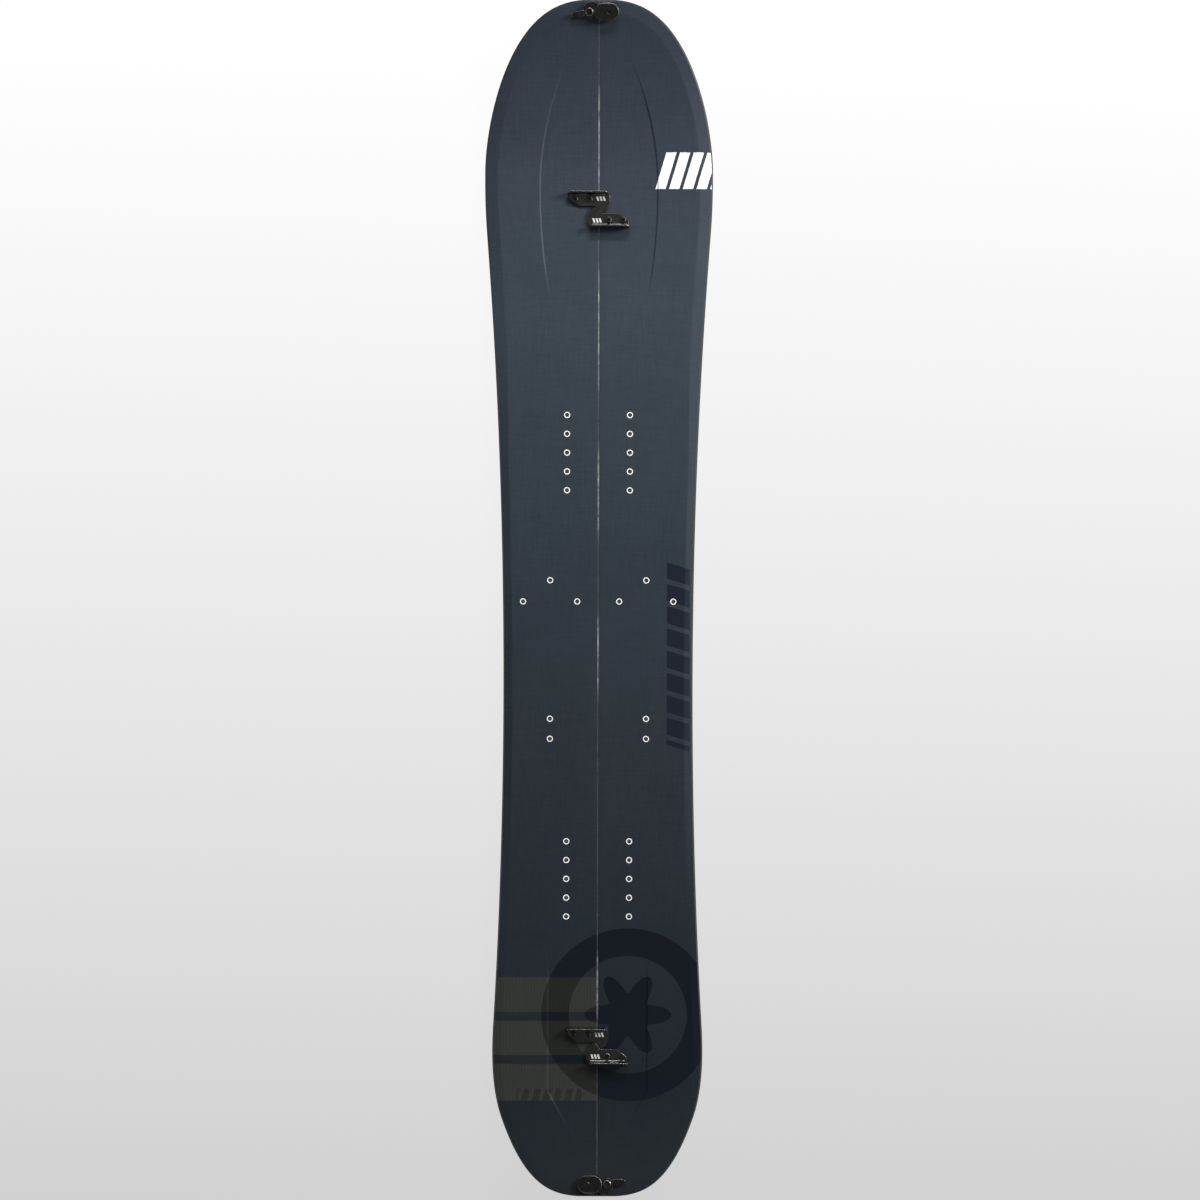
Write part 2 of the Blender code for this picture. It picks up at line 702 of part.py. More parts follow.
def add_clip(end, place, depth, holder, catcher, finish):
    """A tip clip: the lever turns on one half and hooks a stud under the cap that reaches over from the other."""
    pivot, post = moved_by(place, *PIVOT), moved_by(place, *POST)

    outline_here = [(x - PIVOT[0], y - PIVOT[1]) for x, y in lever_outline()]
    lever = add_prisms(
        f"{end}_clip_lever",
        [outline_here],
        LEVER_FLOOR,
        LEVER_TOP,
        finish["lever"],
        pivot,
        holder,
    )
    tab = [
        (-TAB_REACH, -7.2),
        (1.6 - TAB_REACH, -8.0),
        (-6.9, -6.4),
        (-6.6, -2.0),
        (-7.4, 3.0),
        (1.2 - TAB_REACH, 2.4),
        (-TAB_REACH, 1.4),
    ]
    tab_tool = add_prisms(
        f"tool_{end}_tab", [tab], LEVER_FLOOR + 0.15, TAB_TOP, None, pivot, helper=True
    )
    boolean(lever, tab_tool, "UNION")
    hole = add_prisms(
        f"tool_{end}_pivot_hole",
        [circle((0.0, 0.0), PIVOT_RADIUS + 0.4, ROUND_SIDES)],
        0.0,
        8.0,
        None,
        pivot,
        helper=True,
    )
    boolean(lever, hole, "DIFFERENCE")

    bush = (
        (SMALL_BORE, RUNNING_GAP),
        (BUSH_FLANGE_RADIUS, RUNNING_GAP),
        (BUSH_FLANGE_RADIUS, BUSH_FLANGE_TOP),
        (PIVOT_RADIUS, BUSH_FLANGE_TOP),
        (PIVOT_RADIUS, LEVER_TOP + 0.2),
        (SMALL_BORE, LEVER_TOP + 0.2),
    )
    add_turned(
        f"{end}_clip_pivot_bush", bush, ROUND_SIDES, finish["bush"], pivot, holder
    )
    add_screw(
        f"{end}_clip_pivot_screw",
        pivot,
        LEVER_TOP + 0.2,
        5.6,
        depth,
        finish["screw"],
        holder,
    )

    base = add_prisms(
        f"{end}_clip_catch_base",
        [catch_outline()],
        RUNNING_GAP,
        CAP_FLOOR - 0.3,
        finish["cap"],
        place,
        catcher,
    )
    cap = circle((15.0, 0.0), CAP_RADIUS, 8, start=-math.pi / 2, sweep=math.pi)
    cap += circle((4.6, 0.0), CAP_RADIUS, 8, start=math.pi / 2, sweep=math.pi)
    plate = add_prisms(
        f"{end}_clip_catch_cap",
        [cap],
        CAP_FLOOR,
        CAP_TOP,
        finish["cap"],
        place,
        catcher,
    )
    stud = add_prisms(
        f"tool_{end}_stud",
        [circle(STUD, STUD_RADIUS, HOLE_SIDES)],
        LEVER_FLOOR + 0.5,
        CAP_FLOOR + 0.5,
        None,
        place,
        helper=True,
    )
    boolean(plate, stud, "UNION")
    through = add_prisms(
        f"tool_{end}_cap_hole",
        [circle(POST, SMALL_BORE, HOLE_SIDES)],
        -1.0,
        CAP_TOP + 1.0,
        None,
        place,
        helper=True,
    )
    sink = add_prisms(
        f"tool_{end}_cap_sink",
        [circle(POST, 4.0, HOLE_SIDES)],
        CAP_FLOOR + 0.8,
        CAP_TOP + 1.0,
        None,
        place,
        helper=True,
    )
    boolean(base, through, "DIFFERENCE")
    boolean(plate, through, "DIFFERENCE")
    boolean(plate, sink, "DIFFERENCE")
    add_screw(
        f"{end}_clip_catch_screw",
        post,
        CAP_FLOOR + 0.8,
        3.6,
        depth,
        finish["screw"],
        catcher,
        height=1.5,
    )
    return (
        add_insert_row(
            f"{end}_clip_pivot_insert",
            place,
            (PIVOT,),
            depth,
            finish["insert"],
            holder,
            small=True,
        ),
        add_insert_row(
            f"{end}_clip_catch_insert",
            place,
            (POST,),
            depth,
            finish["insert"],
            catcher,
            small=True,
        ),
    )


# ---- the assembly ---------------------------------------------------------------------------------------------
def add_half(word, side, parent, finish, cuts):
    """The layers of one half. cuts holds the (hole, pocket) tools of everything that stands in it."""
    seam = SEAM_GAP / 2.0
    bar, flange = EDGE_BAR_WIDTH, EDGE_FLANGE_REACH
    floor, shelf, top = (
        above_base(0.0),
        above_base(EDGE_HEIGHT - EDGE_FLANGE_THICKNESS),
        above_base(EDGE_HEIGHT),
    )
    core_floor, core_top = above_base(CORE_FLOOR), below_deck(CORE_TOP)

    def fixed(inset):
        return lambda y: inset

    add_sheet(
        f"{word}_base",
        side,
        [fixed(bar + SIDE_GAP)],
        seam + bar + SIDE_GAP,
        floor,
        above_base(BASE_THICKNESS),
        finish["base"],
        parent,
    )
    outer = (
        (0.0, floor),
        (bar, floor),
        (bar, shelf),
        (flange, shelf),
        (flange, top),
        (0.0, top),
    )
    add_sweep(f"{word}_outer_edge", side, outer, finish["edge"], parent, seam)
    inner = [(seam + inset, height) for inset, height in outer]
    reach = HALF_LENGTH - flange - SIDE_GAP
    add_seam_strip(f"{word}_inner_edge", side, inner, reach, finish["edge"], parent)
    add_sheet(
        f"{word}_lower_laminate",
        side,
        [fixed(flange + SIDE_GAP)],
        seam + flange + SIDE_GAP,
        shelf,
        top,
        finish["laminate"],
        parent,
    )
    wall = OUTER_SIDEWALL_REACH
    outer_wall = (
        (SIDEWALL_FOOT, core_floor),
        (wall, core_floor),
        (wall, core_top),
        (SIDEWALL_TOP, core_top),
    )
    add_sweep(
        f"{word}_outer_sidewall", side, outer_wall, finish["sidewall"], parent, seam + 0.15
    )
    inner_wall = (
        (seam + 0.15, core_floor),
        (INNER_SIDEWALL_REACH, core_floor),
        (INNER_SIDEWALL_REACH, core_top),
        (seam + 0.15, core_top),
    )
    # Under the sloping shoulder of each tip the inner sidewall would stand proud, so it stops short of it.
    add_seam_strip(
        f"{word}_inner_sidewall",
        side,
        inner_wall,
        HALF_LENGTH - BEVEL_NOSE - 1.0,
        finish["sidewall"],
        parent,
    )
    core = add_sheet(
        f"{word}_core",
        side,
        [fixed(wall + SIDE_GAP), bevel_width],
        INNER_SIDEWALL_REACH + SIDE_GAP,
        core_floor,
        core_top,
        finish["core"],
        parent,
    )
    laminate = add_sheet(
        f"{word}_upper_laminate",
        side,
        [fixed(LAMINATE_INSET), bevel_width],
        seam + 0.3,
        below_deck(CORE_TOP - GAP),
        below_deck(LAMINATE_TOP),
        finish["laminate"],
        parent,
    )
    topsheet = add_sheet(
        f"{word}_topsheet",
        side,
        [fixed(TOPSHEET_INSET), bevel_width],
        seam + 0.35,
        below_deck(TOPSHEET_THICKNESS),
        below_deck(0.0),
        finish["topsheet"],
        parent,
    )
    holes = add_tool(f"tool_{word}_holes", [hole for hole, _ in cuts])
    pockets = add_tool(f"tool_{word}_pockets", [pocket for _, pocket in cuts])
    for layer in (core, laminate, topsheet):
        boolean(layer, holes, "DIFFERENCE")
    boolean(core, pockets, "DIFFERENCE")


def add_empty(name, place=None):
    made = bpy.data.objects.new(name, None)
    bpy.context.scene.collection.objects.link(made)
    if place is not None:
        made.matrix_world = place
    return made


def clear_scene():
    for item in list(bpy.data.objects):
        bpy.data.objects.remove(item, do_unlink=True)


def main():
    clear_scene()
    finish = {
        "base": material("base_polyethylene", (0.02, 0.021, 0.023), 0.35),
        "edge": material("edge_steel", (0.56, 0.56, 0.55), 0.32, 1.0),
        "laminate": material("glass_laminate", (0.45, 0.47, 0.36), 0.5),
        "core": material("core_wood", (0.55, 0.40, 0.23), 0.65),
        "sidewall": material("sidewall_abs", (0.05, 0.05, 0.055), 0.45),
        "topsheet": material("topsheet_charcoal", (0.045, 0.056, 0.072), 0.55),
        "insert": material("insert_stainless", (0.72, 0.72, 0.70), 0.28, 1.0),
        "hook": material("hook_black_anodised", (0.03, 0.03, 0.03), 0.4, 0.8),
        "lever": material("lever_black", (0.035, 0.035, 0.034), 0.35, 0.6),
        "cap": material("cap_black_anodised", (0.045, 0.045, 0.042), 0.35, 0.7),
        "bush": material("bush_steel", (0.5, 0.5, 0.5), 0.3, 1.0),
        "screw": material("screw_black_steel", (0.06, 0.06, 0.06), 0.35, 1.0),
    }
    halves = {"left": (-1.0, add_empty("left_half")), "right": (1.0, add_empty("right_half"))}
    cuts = {"left": [], "right": []}

    for word, (side, parent) in halves.items():
        for name, place, spots in insert_sets(side):
            cuts[word].append(
                add_insert_row(
                    f"{word}_{name}", place, spots, MIDDLE_THICKNESS, finish["insert"], parent
                )
            )

    # Each pair of hooks is one shape twice, the second turned half round the pair's middle.
    for end, middle, flat in (
        ("nose", NOSE_HOOK_Y, NOSE_FLAT),
        ("tail", TAIL_HOOK_Y, TAIL_FLAT),
    ):
        left = deck_place(*flat, 0.0, middle)
        for word, place in (("left", left), ("right", turned_round(left))):
            cuts[word].append(
                add_hook(
                    f"{word}_{end}_hook",
                    place,
                    HOOK_THICKNESS,
                    finish["hook"],
                    finish["screw"],
                    finish["insert"],
                    halves[word][1],
                )
            )

    # The nose clip's lever sits on the left half, and the tail clip is the nose clip turned half round.
    tip = deck_place(CLIP_FLAT_FROM, HALF_LENGTH, 0.0, CLIP_Y)
    holder, catcher = add_clip(
        "nose",
        tip,
        depth_under(tip, CLIP_Y),
        halves["left"][1],
        halves["right"][1],
        finish,
    )
    cuts["left"].append(holder)
    cuts["right"].append(catcher)
    end = turned_round(deck_place(-HALF_LENGTH, -CLIP_FLAT_FROM, 0.0, -CLIP_Y))
    holder, catcher = add_clip(
        "tail",
        end,
        depth_under(end, -CLIP_Y),
        halves["right"][1],
        halves["left"][1],
        finish,
    )
    cuts["right"].append(holder)
    cuts["left"].append(catcher)

    for word, (side, parent) in halves.items():
        add_half(word, side, parent, finish, cuts[word])


main()
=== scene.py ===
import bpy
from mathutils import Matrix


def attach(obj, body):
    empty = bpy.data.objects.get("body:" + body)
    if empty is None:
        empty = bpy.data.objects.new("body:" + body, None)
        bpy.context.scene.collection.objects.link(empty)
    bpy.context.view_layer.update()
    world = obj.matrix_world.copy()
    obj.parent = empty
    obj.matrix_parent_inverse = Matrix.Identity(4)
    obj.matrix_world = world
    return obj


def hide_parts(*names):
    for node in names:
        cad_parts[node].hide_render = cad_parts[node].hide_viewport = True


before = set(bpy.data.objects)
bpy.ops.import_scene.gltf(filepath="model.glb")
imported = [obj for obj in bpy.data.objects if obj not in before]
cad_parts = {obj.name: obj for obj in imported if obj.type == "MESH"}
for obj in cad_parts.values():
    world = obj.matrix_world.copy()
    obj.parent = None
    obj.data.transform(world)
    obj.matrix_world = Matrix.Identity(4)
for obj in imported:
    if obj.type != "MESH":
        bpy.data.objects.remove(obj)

"""Looks of the splitboard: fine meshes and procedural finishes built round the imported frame.

Lengths below are in millimetres in the frame's own axes, and are turned into metres when a mesh is made.
"""

import math

import bmesh
import bpy
from mathutils import Matrix, Vector

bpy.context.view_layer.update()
MM = 0.001

# ---- the board's numbers, as in part.py -----------------------------------------------------------------------
HALF_LENGTH = 800.0
WAIST_HALF, WAIST_Y, SIDECUT_RADIUS = 127.8, -118.0, 7950.0
NOSE_HALF, NOSE_SHOULDER_Y, NOSE_REACH = 154.1, 579.0, 221.6
NOSE_POWER, NOSE_ROUND = 1.707, 2.685
TAIL_HALF, TAIL_SHOULDER_Y, TAIL_REACH = 175.0, -462.0, 338.4
TAIL_POWER, TAIL_ROUND = 1.3, 3.328
NOSE_BLEND, TAIL_BLEND = 3.0, 20.0
NOSE_FLAT, TAIL_FLAT = (470.0, 575.0), (-650.0, -555.0)
CAMBER, NOSE_RISE, TAIL_RISE, KICK_POWER = 3.0, 45.0, 30.0, 1.8
CLIP_FLAT_FROM = 768.0
MIDDLE_THICKNESS, HOOK_THICKNESS, TIP_THICKNESS = 9.5, 7.2, 5.6
THICK_ZONE = (-440.0, 300.0)
EDGE_HEIGHT, CORE_FLOOR = 1.9, 2.1
BEVEL_MIDDLE, BEVEL_NOSE = 12.0, 17.5
BEVEL_SHARE, BEVEL_TAIL_SHARE = 0.38, 0.08
PITCH, PUCK_X, PUCK_ROWS = 25.4, 42.4, 5
FRONT_PUCK_Y, REAR_PUCK_Y = 198.0, -377.0
TOUR_X, TOUR_Y, TOUR_RISE, TOUR_SPREAD = 64.8, -2.8, 28.6, 36.5
HEEL_X, HEEL_Y, HEEL_PITCH = 64.8, -174.5, 27.0
NOSE_HOOK_Y, TAIL_HOOK_Y = 526.0, -602.0
HOOK_LIFT, HOOK_THICK = 0.4, 3.0
HOOK_BACK_Y, HOOK_BACK_THICK, HOOK_BACK_HEIGHT = 24.0, 2.4, 13.0
COVE_WIDE, COVE_TALL = 2.9, 5.0
CLAW_TIP, CLAW_RADIUS_X, CLAW_RADIUS_Y = (3.4, -4.6), 15.1, 15.0
HOOK_SCREWS = ((-32.5, 14.0), (-13.0, 14.0))
CLIP_Y, PIVOT, POST = 784.3, (-13.4, 0.0), (13.6, 0.0)
STUD, STUD_RADIUS, LEVER_REACH, TAB_REACH = (-2.8, 0.0), 1.8, 15.2, 24.4
CATCH_FROM_X, CAP_RADIUS = 2.6, 11.2
LEVER_FLOOR, LEVER_TOP, TAB_TOP, CAP_FLOOR, CAP_TOP = 1.7, 4.5, 5.3, 5.0, 7.6

# ---- numbers of the fine surface ------------------------------------------------------------------------------
SEAM_EDGE, SEAM_WALL, SEAM_LAMINATE, SEAM_DECK = 0.012, 0.07, 0.16, 0.18
SEAM_WEAR = ((0.555, 0.680), (0.285, 0.435), (0.095, 0.195), (-0.125, -0.030), (-0.560, -0.480))
NOSE_CREASE_X, NOSE_CREASE_Y = 79.6, 556.0
TAIL_CREASE_X = 67.0
CREASE_RISE, CREASE_HALF = 1.15, 1.2


def clamp(value, low=0.0, high=1.0):
    return max(low, min(high, value))


def smooth_min(a, b, blend):
    share = clamp(0.5 + 0.5 * (b - a) / blend)
    return b + (a - b) * share - blend * share * (1.0 - share)


def smooth_step(value, low, high):
    t = clamp((value - low) / (high - low))
    return t * t * (3.0 - 2.0 * t)


def half_width(y):
    side = WAIST_HALF + (y - WAIST_Y) ** 2 / (2.0 * SIDECUT_RADIUS)
    nose_run = clamp((y - NOSE_SHOULDER_Y) / NOSE_REACH)
    nose = NOSE_HALF * (1.0 - nose_run**NOSE_POWER) ** (1.0 / NOSE_ROUND)
    tail_run = clamp((TAIL_SHOULDER_Y - y) / TAIL_REACH)
    tail = TAIL_HALF * (1.0 - tail_run**TAIL_POWER) ** (1.0 / TAIL_ROUND)
    return smooth_min(smooth_min(side, nose, NOSE_BLEND), tail, TAIL_BLEND)


def kick(reach, rise, flat_end):
    run = HALF_LENGTH - abs(flat_end)
    bend_end = CLIP_FLAT_FROM - abs(flat_end)
    bent = min(reach, bend_end)
    height = rise * (bent / run) ** KICK_POWER
    if reach > bend_end:
        slope = rise * KICK_POWER / run * (bend_end / run) ** (KICK_POWER - 1.0)
        height += slope * (reach - bend_end)
    return height


def base_z(y):
    if y > NOSE_FLAT[1]:
        return kick(y - NOSE_FLAT[1], NOSE_RISE, NOSE_FLAT[1])
    if y < TAIL_FLAT[0]:
        return kick(TAIL_FLAT[0] - y, TAIL_RISE, TAIL_FLAT[0])
    if TAIL_FLAT[1] < y < NOSE_FLAT[0]:
        share = (y - TAIL_FLAT[1]) / (NOSE_FLAT[0] - TAIL_FLAT[1])
        return CAMBER * math.sin(math.pi * share) ** 2
    return 0.0


def thickness(y):
    if y > NOSE_FLAT[1]:
        share = (y - NOSE_FLAT[1]) / (HALF_LENGTH - NOSE_FLAT[1])
        return HOOK_THICKNESS + (TIP_THICKNESS - HOOK_THICKNESS) * share
    if y < TAIL_FLAT[0]:
        share = (TAIL_FLAT[0] - y) / (HALF_LENGTH + TAIL_FLAT[0])
        return HOOK_THICKNESS + (TIP_THICKNESS - HOOK_THICKNESS) * share
    if y > THICK_ZONE[1]:
        share = clamp((y - THICK_ZONE[1]) / (NOSE_FLAT[0] - THICK_ZONE[1]))
    elif y < THICK_ZONE[0]:
        share = clamp((THICK_ZONE[0] - y) / (THICK_ZONE[0] - TAIL_FLAT[1]))
    else:
        share = 0.0
    return MIDDLE_THICKNESS + (HOOK_THICKNESS - MIDDLE_THICKNESS) * share


def bevel_width(y):
    return BEVEL_MIDDLE + (BEVEL_NOSE - BEVEL_MIDDLE) * smooth_step(y, 150.0, 380.0)


def bevel_share(y):
    return BEVEL_TAIL_SHARE + (BEVEL_SHARE - BEVEL_TAIL_SHARE) * smooth_step(
        y, -420.0, -230.0
    )


def crease_x(y):
    """Half the distance between the two creases of the deck, nose and tail, with a plain run between them."""
    nose = NOSE_CREASE_X - (0.00128 if y > NOSE_CREASE_Y else 0.00060) * (
        min(abs(y - NOSE_CREASE_Y), 210.0) ** 2
    )
    tail = TAIL_CREASE_X - 0.62 * max(0.0, -664.0 - y) ** 0.98
    share = smooth_step(y, -300.0, 300.0)
    return tail * (1.0 - share) + nose * share


def crease_rise(y):
    """How far the deck outside a crease stands above the deck inside it."""
    nose = smooth_step(y, 395.0, 470.0) * (1.0 - smooth_step(y, 650.0, 735.0))
    tail = smooth_step(-y, 470.0, 530.0) * (1.0 - smooth_step(-y, 650.0, 735.0))
    return CREASE_RISE * (nose + 0.9 * tail)


def shoulder_drop(y, inset):
    slope = 1.0 - inset / bevel_width(y)
    eased = 0.5 * (slope + math.sqrt(slope * slope + 0.0025))
    return bevel_share(y) * eased * thickness(y)


def deck_z(y, inset=1000.0):
    return base_z(y) + thickness(y) - shoulder_drop(y, inset)


def fine_deck_z(x, y, inset):
    """The topsheet's upper face: shoulder, creases, and a small round along its rim."""
    z = deck_z(y, min(inset, 60.0))
    rise = crease_rise(y)
    if rise > 0.0:
        away = abs(x) - crease_x(y)
        fade = 1.0 if inset > 900.0 else clamp(inset / bevel_width(y))
        z += rise * smooth_step(away, -CREASE_HALF, CREASE_HALF) * fade
    rim = inset - 2.0
    if rim < 0.4:
        z -= 0.4 - math.sqrt(max(0.0, 0.16 - (0.4 - max(rim, 0.0)) ** 2))
    return z


def plain_deck_z(y):
    """The CAD deck's own height, on which every fitting stands."""
    return base_z(y) + thickness(y)


# ---- the outline ----------------------------------------------------------------------------------------------
def curve_ys():
    """Y along the right outline from the tail's end to the nose's end, close together where it turns."""
    fine = 4000
    raw = []
    for k in range(fine + 1):
        t = -1.0 + 2.0 * k / fine
        raw.append(HALF_LENGTH * math.sin(t * math.pi / 2.0))
    spots, found, run = [Vector((half_width(y), y)) for y in raw], [raw[0]], 0.0
    for k in range(1, len(raw)):
        run += (spots[k] - spots[k - 1]).length
        step = 2.6 if abs(raw[k]) > 655.0 else 4.6
        if run >= step:
            found.append(raw[k])
            run = 0.0
    if HALF_LENGTH - found[-1] < 0.05:
        found.pop()
    return [*found, HALF_LENGTH]


YS = curve_ys()
CURVE = [Vector((half_width(y), y)) for y in YS]


def offset_curve(inset_of):
    """The curve moved in by inset_of(y), mitred, with its ends mitred against the flat ends of the tips."""
    chain = [Vector((0.0, -HALF_LENGTH)), *CURVE, Vector((0.0, HALF_LENGTH))]
    moved = []
    for k in range(1, len(chain) - 1):
        inset = inset_of(chain[k].y)
        before = (chain[k] - chain[k - 1]).normalized()
        after = (chain[k + 1] - chain[k]).normalized()
        left_before = Vector((-before.y, before.x))
        left_after = Vector((-after.y, after.x))
        mitre = (left_before + left_after) / (1.0 + left_before.dot(left_after))
        spot = chain[k] + mitre * inset
        moved.append((spot.x, spot.y, inset))
    return moved


# ---- making pieces --------------------------------------------------------------------------------------------
MADE = {}


def finish_mesh(name, bm, angle=35.0):
    bmesh.ops.recalc_face_normals(bm, faces=bm.faces)
    mesh = bpy.data.meshes.new(name)
    bm.to_mesh(mesh)
    bm.free()
    mesh.shade_smooth()
    mesh.set_sharp_from_angle(angle=math.radians(angle))
    return mesh


def add_piece(node, bm, finish, body, place=None, angle=35.0, suffix="fine"):
    """Makes a piece that stands for a CAD node and rides on its body. bm is in millimetres."""
    if place is not None:
        bmesh.ops.transform(bm, matrix=place, verts=bm.verts)
    bmesh.ops.scale(bm, vec=(MM, MM, MM), verts=bm.verts)
    made = bpy.data.objects.new(f"{node}_{suffix}", finish_mesh(node, bm, angle))
    bpy.context.scene.collection.objects.link(made)
    made.data.materials.append(FINISH[finish][0])
    # Bores and sockets take a second material of painted shade.
    if finish in ("insert", "screw"):
        made.data.materials.append(RECESS_SHADE)
    if finish in ("hook", "clip", "screw", "bush"):
        # Keeps the flats flat beside their rounded rims.
        weighted = made.modifiers.new("flats", "WEIGHTED_NORMAL")
        weighted.keep_sharp = True
    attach(made, body)
    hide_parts(node)
    MADE[node] = made
    return made


def cut_with(made, bms):
    """Cuts the closed meshes given, in millimetres, out of a piece."""
    tool = bmesh.new()
    for bm in bms:
        copy = {v: tool.verts.new(v.co * MM) for v in bm.verts}
        for face in bm.faces:
            tool.faces.new([copy[v] for v in face.verts])
        bm.free()
    bmesh.ops.recalc_face_normals(tool, faces=tool.faces)
    mesh = bpy.data.meshes.new("cutter")
    tool.to_mesh(mesh)
    tool.free()
    cutter = bpy.data.objects.new("cutter", mesh)
    bpy.context.scene.collection.objects.link(cutter)
    modifier = made.modifiers.new("cut", "BOOLEAN")
    modifier.solver, modifier.operation, modifier.object = "EXACT", "DIFFERENCE", cutter
    bake(made)
    bpy.data.objects.remove(cutter, do_unlink=True)


def bake(made, angle=35.0):
    bpy.context.view_layer.update()
    graph = bpy.context.evaluated_depsgraph_get()
    fresh = bpy.data.meshes.new_from_object(made.evaluated_get(graph))
    made.modifiers.clear()
    old = made.data
    made.data = fresh
    bpy.data.meshes.remove(old)
    fresh.shade_smooth()
    fresh.set_sharp_from_angle(angle=math.radians(angle))


def build_sheet(side, insets, seam_x, columns, top, low):
    """A closed sheet of one half. columns(y, x_out) gives the x of each column from the seam to the inmost ring."""
    bm = bmesh.new()
    across = len(columns(0.0, 100.0))
    surfaces = []
    for height in (low, top):
        rings = []
        for inset_of in insets:
            curve = offset_curve(inset_of)
            first, last = curve[0], curve[-1]
            flat_a = [
                (seam_x + (first[0] - seam_x) * k / (across - 1), first[1], first[2])
                for k in range(across - 1)
            ]
            flat_b = [
                (seam_x + (last[0] - seam_x) * k / (across - 1), last[1], last[2])
                for k in range(across - 2, -1, -1)
            ]
            rings.append(
                [
                    bm.verts.new((side * x, y, height(x, y, inset)))
                    for x, y, inset in [*flat_a, *curve, *flat_b]
                ]
            )
        for outer, inner in zip(rings, rings[1:]):
            for k in range(len(outer) - 1):
                bm.faces.new((outer[k], outer[k + 1], inner[k + 1], inner[k]))
        last = rings[-1]
        rows = [last[:across]]
        for k in range(across, len(last) - across):
            x_out, y = abs(last[k].co.x), last[k].co.y
            row = [
                bm.verts.new((side * x, y, height(x, y, 1000.0)))
                for x in columns(y, x_out)[:-1]
            ]
            rows.append([*row, last[k]])
        rows.append(last[-across:][::-1])
        for low_row, high_row in zip(rows, rows[1:]):
            for k in range(across - 1):
                bm.faces.new(
                    (low_row[k], low_row[k + 1], high_row[k + 1], high_row[k])
                )
        rim = [*rings[0]]
        rim += [ring[-1] for ring in rings[1:]]
        rim += [row[0] for row in rows[-2:0:-1]]
        rim += [ring[0] for ring in rings[:0:-1]]
        surfaces.append(rim)
    floor, roof = surfaces
    for k in range(len(floor)):
        n = (k + 1) % len(floor)
        bm.faces.new((floor[k], floor[n], roof[n], roof[k]))
    return bm


def even_columns(count, seam_x):
    return lambda y, x_out: [
        seam_x + (x_out - seam_x) * k / (count - 1) for k in range(count)
    ]


def deck_columns(y, x_out):
    """Columns that gather on the crease, and at the seam's worn rim."""
    crease = min(crease_x(y), 0.62 * x_out)
    near = [SEAM_DECK, SEAM_DECK + 0.08, SEAM_DECK + 0.22, SEAM_DECK + 0.45]
    band = min(2.4, 0.12 * x_out)
    span = [
        near[-1] + (crease - band - near[-1]) * (k / 9.0) for k in range(1, 10)
    ]
    tight = [crease - band + 2.0 * band * (k / 10.0) for k in range(1, 11)]
    wide = [crease + band + (x_out - crease - band) * (k / 9.0) for k in range(1, 10)]
    return [*near, *span, *tight, *wide]


def build_sweep(side, profile, seam_x):
    """A closed section carried round the outline. profile holds (inset, height(y, inset)) in order round it."""
    bm = bmesh.new()
    loops = []
    for inset, height in profile:
        curve = offset_curve(lambda y, inset=inset: inset)
        ends = ((seam_x, curve[0][1], inset), (seam_x, curve[-1][1], inset))
        loops.append(
            [
                bm.verts.new((side * x, y, height(y, d)))
                for x, y, d in [ends[0], *curve, ends[1]]
            ]
        )
    join_rails(bm, loops)
    return bm


def build_strip(side, profile, reach):
    bm = bmesh.new()
    ys = [-reach, *[y for y in YS if abs(y) < reach - 1.5], reach]
    loops = [
        [bm.verts.new((side * x, y, height(y, 1000.0))) for y in ys]
        for x, height in profile
    ]
    join_rails(bm, loops)
    return bm


def join_rails(bm, loops):
    for a, b in zip(loops, [*loops[1:], loops[0]]):
        for k in range(len(a) - 1):
            bm.faces.new((a[k], a[k + 1], b[k + 1], b[k]))
    bm.faces.new([rail[0] for rail in loops])
    bm.faces.new([rail[-1] for rail in loops][::-1])


def circle(centre, radius, sides, start=0.0, sweep=math.tau):
    full = math.isclose(sweep, math.tau)
    count = sides if full else sides + 1
    return [
        (
            centre[0] + radius * math.cos(start + sweep * k / sides),
            centre[1] + radius * math.sin(start + sweep * k / sides),
        )
        for k in range(count)
    ]


def rounded(points, radius, steps=5):
    """The outline with each corner turned into an arc."""
    result = []
    count = len(points)
    for k in range(count):
        a, b, c = (Vector(points[(k + d) % count]) for d in (-1, 0, 1))
        into, out = (b - a), (c - b)
        turn = into.angle(out, 0.0)
        r = radius(k) if callable(radius) else radius
        if turn < math.radians(9.0) or r <= 0.0:
            result.append((b.x, b.y))
            continue
        cut = min(r * math.tan(turn / 2.0), 0.46 * into.length, 0.46 * out.length)
        start, end = b - into.normalized() * cut, b + out.normalized() * cut
        for s in range(steps + 1):
            t = s / steps
            p = start * (1 - t) ** 2 + b * 2 * t * (1 - t) + end * t * t
            result.append((p.x, p.y))
    return result


def prism(points, low, high, axes="xyz"):
    bm = bmesh.new()
    order = {
        "xyz": lambda u, v, w: (u, v, w),
        "xzy": lambda u, v, w: (u, w, v),
        "yzx": lambda u, v, w: (w, u, v),
    }[axes]
    floor = [bm.verts.new(order(u, v, low)) for u, v in points]
    roof = [bm.verts.new(order(u, v, high)) for u, v in points]
    bm.faces.new(floor[::-1])
    bm.faces.new(roof)
    for k in range(len(points)):
        n = (k + 1) % len(points)
        bm.faces.new((floor[k], floor[n], roof[n], roof[k]))
    bmesh.ops.recalc_face_normals(bm, faces=bm.faces)
    return bm


def soften(bm, width, segments=3, angle=32.0):
    """Rounds every edge that is sharper than angle."""
    sharp = [
        e
        for e in bm.edges
        if len(e.link_faces) == 2
        and e.calc_face_angle(0.0) > math.radians(angle)
    ]
    bmesh.ops.bevel(
        bm,
        geom=sharp,
        offset=width,
        offset_type="OFFSET",
        segments=segments,
        profile=0.5,
        affect="EDGES",
        clamp_overlap=True,
    )
    return bm


def joined(first, *others):
    """Boolean union of closed meshes in millimetres, returned as one bmesh."""
    return combine(first, "UNION", others)


def carved(first, *others):
    return combine(first, "DIFFERENCE", others)


